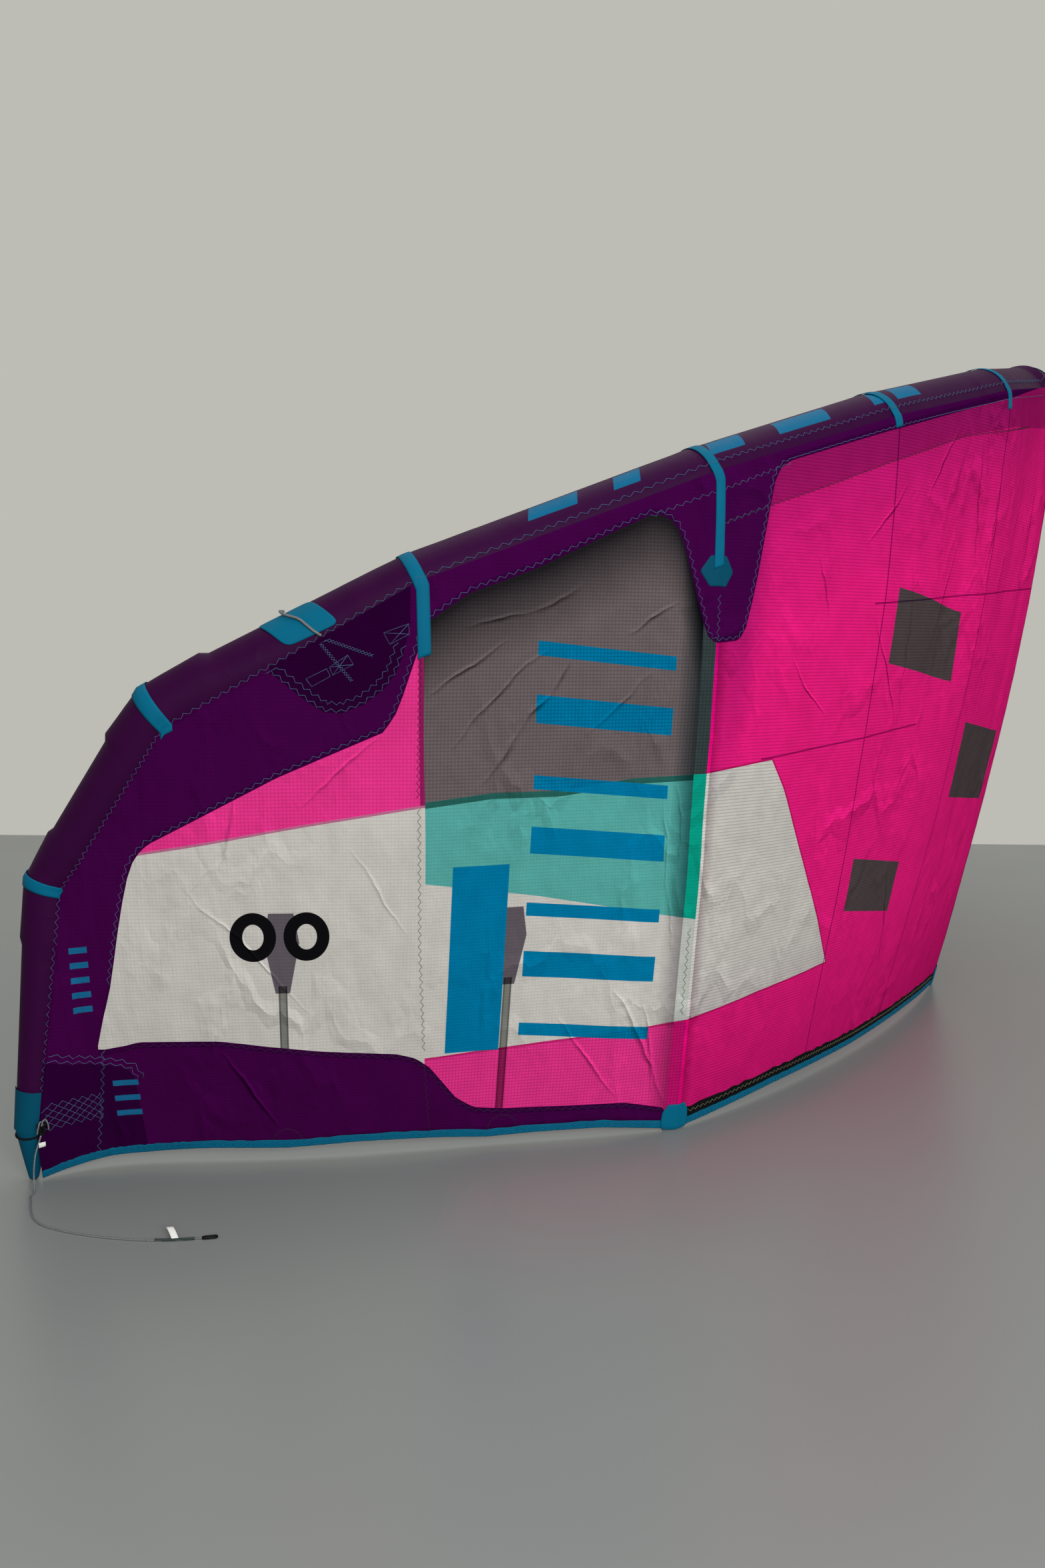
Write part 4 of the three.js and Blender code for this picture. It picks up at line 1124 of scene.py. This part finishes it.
def makeStrap(name, joint):
    radius, wrap, sewn = (float(atJoint(joint, key)) for key in ("tube", "wrap", "sewn"))
    arc = radius * math.radians(strapSet["backAngle"] - sewn)
    drop = strapSet["drops"][abs(joint)]
    hasPad = abs(joint) in (0, 3)
    length = arc + drop - (strapSet["padLength"] * 0.62 if hasPad else 0)
    shape = bmesh.new()

    def onCloth(offset, below, outside):
        share = shareBelow(joint, np.asarray(below))
        joints = joint + offset / stepWidth(joint + 0.02, share)
        return clothPoint(joints, share, outside)

    def place(across, down):
        offset = (across - 0.5) * strapSet["width"]
        distance = down * length
        angle = np.clip(strapSet["backAngle"] - np.degrees(distance / radius), sewn, None)
        rise = np.clip((sewn + wrap + 8 - angle) / 8, 0, 1)[:, None]
        joints = joint + offset / stepWidth(joint + 0.02, 0.0)
        onJoin = canopyPoint(joints, -np.clip((angle - sewn) / wrap, 0, 1), strapSet["onCanopy"])
        onTube = tubePoint(joints, angle, strapSet["clear"]) * (1 - rise) + onJoin * rise
        below = onCloth(offset, np.clip(distance - arc, 0, None), strapSet["onCanopy"])
        return np.where((distance > arc)[:, None], below, onTube)

    addGrid(shape, 6, round(length / 0.006), place, ownMap(strapSet["width"], length))
    if hasPad:
        start = drop - strapSet["padLength"]

        # how far a line across the canopy leans along the strap
        middle = shareBelow(joint, drop)
        leanOver = unit(canopyBase(joint + 0.02, middle) - canopyBase(joint - 0.02, middle))
        lean = float(leanOver @ unit(canopyBase(joint, middle + 0.01) - canopyBase(joint, middle - 0.01)))

        def padPlace(across, down):
            half = np.interp(down, strapSet["padShares"], strapSet["padHalves"])
            offset = (across - 0.5) * 2 * half
            return onCloth(offset, start + down * strapSet["padLength"] - offset * lean, 0.0029)

        for vertex in addGrid(shape, 14, 20, padPlace, ownMap(0.07, 0.07)):
            for face in vertex.link_faces:
                face.material_index = 1
    thick = ("SOLIDIFY", {"thickness": strapSet["thickness"] * 0.7, "offset": -1})
    finishes = (tealCloth, "tealTape", [f"jointStrap-{name}"], [thick], [darkTealCloth])
    newPiece(f"jointStrapCloth-{name}", shape, *finishes)


makeStrap("middle", 0)
for joint in range(1, tipJoint):
    for name, side in sides:
        makeStrap(f"{joint}-{name}", joint * side)
print("straps made")

# struts and their feet
strutSet = {
    "shares": [0, 0.2, 0.55, 0.85, 0.97],
    "radii": [0.045, 0.045, 0.040, 0.026, 0.015],
    "room": 1.03,
    "sides": 40,
    "rings": 70,
    "end": 0.965,
}


def makeStrut(name, joint):
    def spoke(share, turn):
        radius = np.interp(share, strutSet["shares"], strutSet["radii"])
        normal = canopyNormal(joint, share)
        centre = canopyBase(joint, share) - normal * (radius * strutSet["room"] + 0.0005)[:, None]
        down = unit(canopyBase(joint, share + 0.01) - canopyBase(joint, share - 0.01))
        across = unit(np.cross(down, normal))
        return centre + (normal * np.cos(turn)[:, None] + across * np.sin(turn)[:, None]) * radius[:, None]

    def place(around, down):
        turn = around * math.tau
        # each line along the strut starts where it leaves the leading edge
        low, high = np.full(turn.shape, 0.001), np.full(turn.shape, 0.5)
        centre, axis = tubeCentre(joint), tubeFrame(joint)[0]
        for _ in range(16):
            middle = (low + high) / 2
            away = spoke(middle, turn) - centre
            away -= axis * np.sum(away * axis, axis=-1, keepdims=True)
            clear = np.linalg.norm(away, axis=-1) > atJoint(joint, "tube") + 0.001
            low, high = np.where(clear, low, middle), np.where(clear, middle, high)
        start = np.maximum(high, 0.03)
        share = start + (strutSet["end"] - start) * down
        point = spoke(share, turn)
        pucker = np.sin(share * 150 + 2 * np.sin(turn * 3)) * np.clip(share - 0.55, 0, 0.3)
        return point + canopyNormal(joint, share) * (pucker * 0.0006)[:, None]

    shape = bmesh.new()
    addGrid(shape, strutSet["sides"], strutSet["rings"], place, ownMap(0.28, 1.35))
    newPiece(f"strutCloth-{name}", closeShape(shape), strutFinish, "strutCloth", [f"strut-{name}"])


footSet = {
    "above": [0.058, 0.040, 0.018, 0.003, -0.0018, -0.0030, -0.0030, -0.0030],
    "outside": [0.0046, 0.0048, 0.0050, 0.0050, 0.0030, -0.0040, -0.0140, -0.0240],
    "half": [0.021, 0.034, 0.036, 0.034, 0.031, 0.029, 0.027, 0.022],
}


def makeFoot(name, joint):
    def place(across, down):
        rows = np.linspace(0, 1, len(footSet["above"]))
        above, outside, half = (np.interp(down, rows, footSet[key]) for key in ("above", "outside", "half"))
        share = shareAbove(joint, above)
        joints = joint + (across - 0.5) * 2 * half / stepWidth(joint + 0.02, 0.98)
        point = canopyPoint(joints, np.minimum(share, 1.0), outside)
        point[:, 2] = np.where(share > 1, np.maximum(point[:, 2] + above - 0.001, 0.0006), point[:, 2])
        return point

    nodes = [f"strutFoot-{name}"]
    title = f"strutFootCloth-{name}"
    sheetPiece(title, 20, 40, place, tealCloth, "tealTape", nodes, 0.0006, ownMap(0.05, 0.09))


makeStrut("middle", 0)
makeFoot("middle", 0)
for name, side in sides:
    makeStrut(f"side-{name}", 3 * side)
    makeFoot(f"side-{name}", 3 * side)
print("struts made")

# tapes along the trailing edge
tapeSet = {
    "binding": {"to": 7.0, "low": 0.0, "high": 0.018, "inner": -0.0006, "outer": 0.0032, "wave": 0.0009},
    "blackTape": {"to": 3.0, "low": 0.0165, "high": 0.0423, "inner": 0.0010, "outer": 0.0028, "wave": 0.002},
    "sides": 16,
    "rings": 360,
}


def makeTape(name, side, kind, material, slot, node):
    tape = tapeSet[kind]

    def rounded(low, high, swing):
        return (low + high) / 2 + (high - low) / 2 * np.sign(swing) * np.abs(swing) ** 0.4

    def place(across, around):
        joint = tape["to"] * (across if side > 0 else across - 1)
        turn = around * math.tau
        above = rounded(tape["low"], tape["high"], np.cos(turn))
        outside = rounded(tape["inner"], tape["outer"], np.sin(turn))
        # the upper edge waves, and the whole tape puckers
        above += np.sin(joint * 41 + 2 * np.sin(joint * 17)) * np.clip(np.cos(turn), 0, 1) * tape["wave"]
        pucker = np.sin(joint * 88) * 0.0003
        return clothPoint(joint, shareAbove(joint, above), outside + pucker)

    shape = bmesh.new()
    addGrid(shape, tapeSet["rings"], tapeSet["sides"], place, ownMap(3.0 * tape["to"] / 7, 0.04))
    newPiece(f"{kind}Cloth-{name}", closeShape(shape), material, slot, [node])


for name, side in sides:
    makeTape(name, side, "binding", bindingCloth, "tealTape", f"edgeBinding-{name}")
    makeTape(name, side, "blackTape", blackCloth, "blackTape", f"blackTape-{name}")
print("tapes made")

# batten pockets inside the canopy
def makeBatten(number, batten, name, side):
    def place(across, down):
        shares, halves = zip(*battenSet["outline"])
        half = np.interp(down, shares, halves) / 1000
        rows = np.linspace(0.2, 1, 400)
        heights = canopyBase(np.full(400, batten["joint"]), rows)[:, 2]
        top = np.interp(-battenSet["topHeight"], -heights, rows)
        low = shareAbove(batten["joint"], battenSet["footHeight"])
        share = top + (low - top) * down
        joint = batten["joint"] + (across - 0.5) * 2 * half / stepWidth(batten["joint"], share)
        return clothPoint(joint * side, share, battenSet["inside"])

    nodes = [f"battenPocket-{number}-{name}"]
    finish = (battenFinish, "battenCloth", nodes, battenSet["thickness"], ownMap(0.06, 0.5))
    sheetPiece(f"battenPocketCloth-{number}-{name}", 10, 90, place, *finish)


for number, batten in enumerate(battenSet["rows"], 1):
    for name, side in sides:
        makeBatten(number, batten, name, side)
print("batten pockets made")

# bridle patches and their loose tails
bridleSet = {
    "from": 4.36,
    "to": 4.56,
    "skew": -0.07,
    "topAngle": 80,
    "lowAngle": 4,
    "clear": 0.0026,
    # the tail's places as joint, angle and millimetres off the tube
    "tail": [(4.452, 84, 6), (4.462, 74, 11), (4.452, 62, 8), (4.432, 50, 6), (4.412, 38, 6)]
    + [(4.398, 24, 6), (4.384, 10, 6), (4.368, -2, 6)],
    "tailWidth": 0.005,
}


def makeBridlePatch(name, side):
    def place(across, down):
        x, y = across * 2 - 1, down * 2 - 1
        # the patch's corners are rounded
        x, y = x * (1 - 0.10 * np.abs(y) ** 9), y * (1 - 0.08 * np.abs(x) ** 9)
        joint = bridleSet["from"] + (bridleSet["to"] - bridleSet["from"]) * (x + 1) / 2
        joint = joint + bridleSet["skew"] * (y + 1) / 2
        angle = bridleSet["topAngle"] + (bridleSet["lowAngle"] - bridleSet["topAngle"]) * (y + 1) / 2
        return tubePoint(joint * side, angle, np.full(joint.shape, bridleSet["clear"]))

    finish = (tealCloth, "tealTape", [f"bridlePatch-{name}"], 0.0013, ownMap(0.1, 0.07))
    sheetPiece(f"bridlePatchCloth-{name}", 30, 24, place, *finish)
    tailPlaces = [(joint * side, angle, np.array(clear / 1000)) for joint, angle, clear in bridleSet["tail"]]
    points = [tuple(tubePoint(*tailPlace)) for tailPlace in tailPlaces]
    tail = curveThrough(f"bridleTail-{name}", [points], bridleSet["tailWidth"] / 2, 12)
    tail.data.materials.append(lineFinish)
    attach(tail, "root")
    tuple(points[0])
    pathLength(points)


for name, side in sides:
    makeBridlePatch(name, side)
print("bridle patches made")

# wing tips
tipSet = {
    "height": 0.107,
    "capTop": 0.1074,
    "topRadius": 0.0302,
    "footRadius": 0.008,
    "sleeve": 0.17,
    "bandHeight": 0.098,
    "bandRadius": 0.0022,
    "knotStrand": 0.0021,
    "earStrand": 0.0014,
}


def capRadius(height):
    share = np.clip(height / tipSet["height"], 0, 1)
    return tipSet["footRadius"] + (tipSet["topRadius"] - tipSet["footRadius"]) * share**0.92


def makeTip(name, side):
    foot = tubeCentre(tipJoint * side)

    def capPlace(around, down):
        turn = -around * math.tau
        height = tipSet["capTop"] * (1 - down)
        radius = capRadius(height) * np.clip(np.sqrt(np.clip(height / 0.004, 0, 1)) * 0.5 + 0.5, 0, 1)
        return np.stack([foot[0] + radius * np.cos(turn), foot[1] + radius * np.sin(turn), height], axis=-1)

    shape = bmesh.new()
    addGrid(shape, 48, 30, capPlace, ownMap(0.18, 0.1))
    closeShape(shape)

    def sleevePlace(across, down):
        joint = tipJoint - tipSet["sleeve"] * (1 - down)
        start = np.interp(down, [0, 0.5, 1], [70, 150, 150])
        angle = start + (-58 - start) * across
        return tubePoint(joint * side, angle, np.full(joint.shape, 0.0026))

    addGrid(shape, 30, 16, sleevePlace, ownMap(0.08, 0.08))
    newPiece(f"tipCapCloth-{name}", shape, darkTealCloth, "tealTape", [f"tipCap-{name}"])
    # a black elastic round the cap
    band = []
    for step in range(37):
        turn = math.tau * step / 36
        height = tipSet["bandHeight"] + 0.005 * math.cos(turn)
        reach = float(capRadius(height)) + 0.0014
        band.append((foot[0] + reach * math.cos(turn), foot[1] + reach * math.sin(turn), height))
    tubePiece(f"tipElastic-{name}", [band], tipSet["bandRadius"], blackStrand, "blackTape")
    # the knot: a trefoil of cord with two short ears
    centre, inside = (tubePoint(np.array(6.97 * side), -50.0, clear) for clear in (0.0153, 0.0))
    outward = unit((centre - inside) * (1, 1, 0))
    across = unit(np.cross(outward, (0, 0, 1)))

    def at(sideways, up, out):
        return tuple(centre + across * sideways + np.array((0, 0, up)) + outward * out)

    loops = []
    for shift, grow in ((0, 1.0), (0.9, 0.8)):
        path = []
        for step in range(49):
            turn = math.tau * step / 48 + shift
            aside = 0.0030 * grow * (math.sin(turn) + 2 * math.sin(2 * turn))
            up = 0.0042 * grow * (math.cos(turn) - 2 * math.cos(2 * turn))
            path.append(at(aside, up, 0.0026 * math.sin(3 * turn) + shift * 0.002))
        loops.append(path)
    nodes = [f"tipKnot-{name}"]
    tubePiece(f"tipKnotCord-{name}", loops, tipSet["knotStrand"], blackStrand, "blackTape", nodes)
    # the ears' places aside, up and outwards, in millimetres
    longEar = [(2, 6, 3), (-4, 18, 5), (-9, 10, 6), (-12, -4, 3)]
    shortEar = [(-1, 6, 3), (4, 16, 6), (9, 6, 6), (10, -8, 2)]
    ears = [[at(*np.array(spot) / 1000) for spot in ear] for ear in (longEar, shortEar)]
    tubePiece(f"tipKnotEars-{name}", ears, tipSet["earStrand"], lineFinish, "lineCord")

    def tagPlace(aside, down):
        bend = 0.002 * np.sin(down * 3)
        spots = zip(-0.004 + 0.013 * aside, -0.026 - 0.010 * down, 0.004 + bend)
        return np.array([at(*spot) for spot in spots])

    sheetPiece(f"tipTag-{name}", 6, 6, tagPlace, tagFinish, "whiteCloth", (), 0.0004, ownMap(0.013, 0.01))


for name, side in sides:
    makeTip(name, side)
print("wing tips made")

# what is on the free line
freeEnd = {
    "length": 0.027,
    "half": 0.0042,
    "strand": 0.0016,
    "sleeveStrand": 0.0024,
    "sleeveStart": 0.012,
    "tagStart": 0.046,
}
lineBack = [Vector(point) for point in freeLineSet["route"]][::-1]
lastPoint = lineBack[0]
lineHeading = (lineBack[0] - lineBack[1]).normalized()
lineSide = Vector((-lineHeading.y, lineHeading.x, 0))
loop = []
for step in range(41):
    turn = math.tau * step / 40
    bent = [math.copysign(abs(value) ** 0.5, value) for value in (math.cos(turn), math.sin(turn))]
    forward = 0.0003 + freeEnd["length"] / 2 * (1 + bent[0] * 0.94)
    spot = lastPoint + lineHeading * forward + lineSide * freeEnd["half"] * bent[1]
    loop.append(tuple(spot + Vector((0, 0, 0.0004))))
tubePiece("freeLineEndLoop", [loop], freeEnd["strand"], blackStrand, "blackTape", ["freeLineEnd"])


def alongLine(distance):
    # a point on the free line, measured back from its end
    left = distance
    for start, stop in zip(lineBack, lineBack[1:]):
        if left <= (stop - start).length:
            return start + (stop - start).normalized() * left
        left -= (stop - start).length
    return lineBack[-1]


sleevePath = []
for step in range(8):
    spot = alongLine(freeEnd["sleeveStart"] + 0.01 * step)
    sleevePath.append(tuple(spot + Vector((0, 0, 0.0006))))
sleeveStrand = strandFinish("sleeveStrand", colour(58, 68, 66))
tubePiece("freeLineSleeve", [sleevePath], freeEnd["sleeveStrand"], sleeveStrand, "lineCord")
tagFoot = alongLine(freeEnd["tagStart"])


def lineTagPlace(across, down):
    back = Vector((0.55, 0.83, 0))
    points = []
    for a, d in zip(across, down):
        lift = 0.002 + 0.012 * math.sin(d * 1.5)
        points.append(tagFoot + lineHeading * (0.012 * (a - 0.5)) + back * (0.026 * d) + Vector((0, 0, lift)))
    return np.array(points)


sheetPiece("freeLineTag", 5, 10, lineTagPlace, tagFinish, "whiteCloth", (), 0.0004, ownMap(0.012, 0.03))
print("free line pieces made")

# stitching
stitchSet = {
    "pitch": 0.019,
    "width": 0.0065,
    "radius": 0.0006,
    "outside": 0.0026,
    "tubeAngles": [30, 30, 30, 30, 14, -31, -49, -49],
}


def zigzagRow(points, pitch=stitchSet["pitch"], width=stitchSet["width"], shift=0.0):
    # turns a line on a flat map into a zigzag, moved sideways by shift
    path = np.array(points, float)
    steps = np.linalg.norm(np.diff(path, axis=0), axis=1)
    reach = np.concatenate([[0], np.cumsum(steps)])
    count = max(2, round(reach[-1] / (pitch / 2)))
    marks = np.linspace(0, reach[-1], count + 1)
    places = np.stack([np.interp(marks, reach, path[:, k]) for k in (0, 1)], axis=-1)
    along = unit(np.gradient(places, axis=0))
    normal = np.stack([-along[:, 1], along[:, 0]], axis=-1)
    offset = shift + np.where(np.arange(count + 1) % 2, width / 2, -width / 2)
    return places + normal * offset[:, None]


def partOf(line, low, high):
    return [point for point in markLines[line] if low <= point[0] <= high]


patchEdge = partOf("reinforced", 2.11, 2.368)
cornerEdge = partOf("tipCorner", 2.643, 2.80)[::-1]
crossLines = [[(2.262, 1.059), (2.175, 1.028)], [(2.267, 1.05), (2.212, 0.981)]]
# straight stitching round the boxes at the crosses' ends
boxRows = [
    [(2.156, 1.070), (2.112, 1.087), (2.111, 1.068), (2.145, 1.049), (2.156, 1.070), (2.111, 1.068)],
    [(2.145, 1.049), (2.112, 1.087)],
    [(2.251, 1.007), (2.219, 1.029), (2.209, 1.012), (2.246, 0.992), (2.251, 1.007), (2.209, 1.012)],
    [(2.246, 0.992), (2.219, 1.029)],
    [(2.293, 0.985), (2.256, 1.004), (2.25, 0.99), (2.283, 0.971), (2.293, 0.985)],
]
secondLayer = [(1.50, 1.29), (1.40, 1.326), (1.23, 1.382), (1.045, 1.448), (0.745, 1.537), (0.3, 1.62)]
# rows of stitching on the cloth map, for each colour of thread
stitchRows = {
    "blue": [
        zigzagRow(partOf("purpleTop", 0.1, 2.70), shift=0.007),
        zigzagRow([(1.65, 1.297), (1.54, 1.342), (1.51, 1.352), (1.38, 1.402), (1.33, 1.42)]),
        zigzagRow([(1.50, 1.29), (1.40, 1.326), (1.385, 1.33)]),
        zigzagRow([(1.503, 1.15), (1.503, 1.06)], 0.017),
        zigzagRow([(2.70, 0.262), (2.715, 0.15), (2.735, 0.03)]),
        *[zigzagRow(patchEdge, shift=shift) for shift in (0.004, 0.018)],
        *[zigzagRow(cornerEdge, shift=shift) for shift in (-0.004, -0.016)],
        *[zigzagRow(line, 0.012, width) for line in crossLines for width in (0.006, -0.006)],
        *[np.array(row) for row in boxRows],
    ],
    "dark": [
        zigzagRow(partOf("purpleFoot", 1.53, 2.68), shift=-0.006),
        zigzagRow([(2.062, 0.195), (2.045, 0.04)], 0.016, 0.005),
        zigzagRow(secondLayer, 0.014, 0.004),
        zigzagRow([(2.092, 1.03), (2.091, 0.76)], 0.014, 0.006),
    ],
    "lime": [
        zigzagRow([(2.089, 0.74), (2.08, 0.45), (2.064, 0.23)], 0.017, 0.006),
        zigzagRow([(1.513, 0.46), (1.512, 0.27)], 0.017, 0.006),
    ],
}
# a net of diamonds in the tip's corner, and an arch over each batten's foot
for k in range(7):
    diamonds = [(2.808, 0.158 - 0.008 * k), (2.716, 0.163 - 0.008 * k)]
    stitchRows["blue"].append(zigzagRow(diamonds, 0.015, -0.009 if k % 2 else 0.009))
for centre, half in ((2.348, 0.034), (1.885, 0.034)):
    turns = [k * math.pi / 10 for k in range(11)]
    arch = [(centre + half * math.cos(turn), 0.03 + 0.038 * math.sin(turn)) for turn in turns]
    stitchRows["dark"].append(zigzagRow(arch, 0.009, 0.004))
threads = {"blue": blueThread, "dark": darkThread, "lime": limeThread}


def zigzagAlong(start, stop, metres, pitch, width):
    # joint places along a row and how far each lies to its side
    count = round(abs(stop - start) * metres / (pitch / 2))
    return np.linspace(start, stop, count + 1), np.where(np.arange(count + 1) % 2, 0.5, -0.5) * width


def onTubeRow(start, stop):
    joint, offset = zigzagAlong(start, stop, 0.5, stitchSet["pitch"], stitchSet["width"])
    angle = np.interp(np.abs(joint), range(tipJoint + 1), stitchSet["tubeAngles"])
    angle = angle + np.degrees(offset / atJoint(joint, "tube"))
    return tubePoint(joint, angle, np.full(joint.shape, stitchSet["outside"]))


def onEdgeRow(start, stop, above, pitch, width, outside):
    joint, offset = zigzagAlong(start, stop, 0.43, pitch, width)
    return clothPoint(joint, shareAbove(joint, above + offset), outside)


def sewPiece(title, paths, thread):
    tubePiece(f"stitching-{title}", paths, stitchSet["radius"], thread, "lineCord", sides=4, smooth=False)


for name, side in sides:
    for thread, rows in stitchRows.items():
        paths = [canopyPlace(row[:, 0], row[:, 1], side, stitchSet["outside"]) for row in rows]
        if thread == "blue":
            paths.append(onTubeRow(0.03 * side, 6.83 * side))
        sewPiece(f"{thread}-{name}", paths, threads[thread])
    edge = [onEdgeRow(0.05 * side, 6.95 * side, above, 0.012, 0.005, 0.0035) for above in (0.0055, 0.0125)]
    sewPiece(f"edge-{name}", edge, tealThread)
    tape = onEdgeRow(0.08 * side, 2.93 * side, 0.031, 0.014, 0.006, 0.0032)
    sewPiece(f"tape-{name}", [tape], limeThread)
print("stitching made")

# the free line cord gets its finish and stands in for its part
freeLine.data.materials.append(lineFinish)
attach(freeLine, "root")
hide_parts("freeLine")
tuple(freeLineSet["route"][0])
pathLength(freeLineSet["route"])

# floor, background and light
stageSet = {
    "floor": colour(122, 125, 123),
    "backdrop": colour(190, 189, 181),
    "ahead": 6.2,
    "behind": 30,
    "beside": 30,
    "fill": 0.5,
}


def floorPlace(across, down):
    turn = math.radians(cameraView["heading"])
    ahead, aside = (math.sin(turn), math.cos(turn)), (math.cos(turn), -math.sin(turn))
    reach = -stageSet["behind"] + (stageSet["ahead"] + stageSet["behind"]) * down
    side = (across - 0.5) * 2 * stageSet["beside"]
    x = cameraView["place"][0] + ahead[0] * reach + aside[0] * side
    y = cameraView["place"][1] + ahead[1] * reach + aside[1] * side
    return np.stack([x, y, np.zeros_like(x)], axis=-1)


floorShape = bmesh.new()
addGrid(floorShape, 1, 1, floorPlace, ownMap(60, 36))
bmesh.ops.recalc_face_normals(floorShape, faces=floorShape.faces)
if next(iter(floorShape.faces)).normal.z < 0:
    bmesh.ops.reverse_faces(floorShape, faces=floorShape.faces)
floorMesh = bpy.data.meshes.new("floor")
floorShape.to_mesh(floorMesh)
floorShape.free()
floor = bpy.data.objects.new("floor", floorMesh)
scene.collection.objects.link(floor)
floorFinish, floorTree, floorShader = newMaterial("floorFinish", 0.3, specular=0.4)
floorSpots = addNode(floorTree, "ShaderNodeTexCoord").outputs["Object"]
floorNoise = noiseMap(floorTree, floorSpots, 1.2, 4.0)["Fac"]
floorShade = sums(floorTree, "MULTIPLY_ADD", floorNoise, 0.12, 0.94)
floorTones = shadeAndToneColours(floorTree, stageSet["floor"], floorShade)
floorTree.links.new(floorTones, floorShader.inputs["Base Color"])
floorGloss = sums(floorTree, "MULTIPLY_ADD", floorNoise, 0.15, 0.25)
floorTree.links.new(floorGloss, floorShader.inputs["Roughness"])
floorMesh.materials.append(floorFinish)

world = bpy.data.worlds.new("world")
scene.world = world
world.use_nodes = True
worldTree = world.node_tree
worldShader = worldTree.nodes["Background"]
rays = worldTree.nodes.new("ShaderNodeLightPath")
seen = sums(worldTree, "MAXIMUM", rays.outputs["Is Camera Ray"], rays.outputs["Is Glossy Ray"])
fill = (stageSet["fill"],) * 3 + (1.0,)
shown = mixColours(worldTree, seen, fill, stageSet["backdrop"])
worldTree.links.new(shown, worldShader.inputs["Color"])


def softLamp(name, place, target, size, power):
    data = bpy.data.lights.new(name, "AREA")
    data.shape = "RECTANGLE"
    data.size, data.size_y = size
    data.energy = power
    lamp = bpy.data.objects.new(name, data)
    scene.collection.objects.link(lamp)
    direction = Vector(target) - Vector(place)
    lamp.rotation_mode = "QUATERNION"
    lamp.rotation_quaternion = direction.to_track_quat("-Z", "Y")
    lamp.location = place


softLamp("keyLamp", (-7.0, -4.4, 3.4), (-1.0, 0.0, 0.8), (5, 3), 620)
softLamp("topLamp", (0.5, 0.5, 6.0), (0.0, 0.0, 0.5), (6, 6), 160)
print("stage made")

scene.view_settings.view_transform = "Standard"
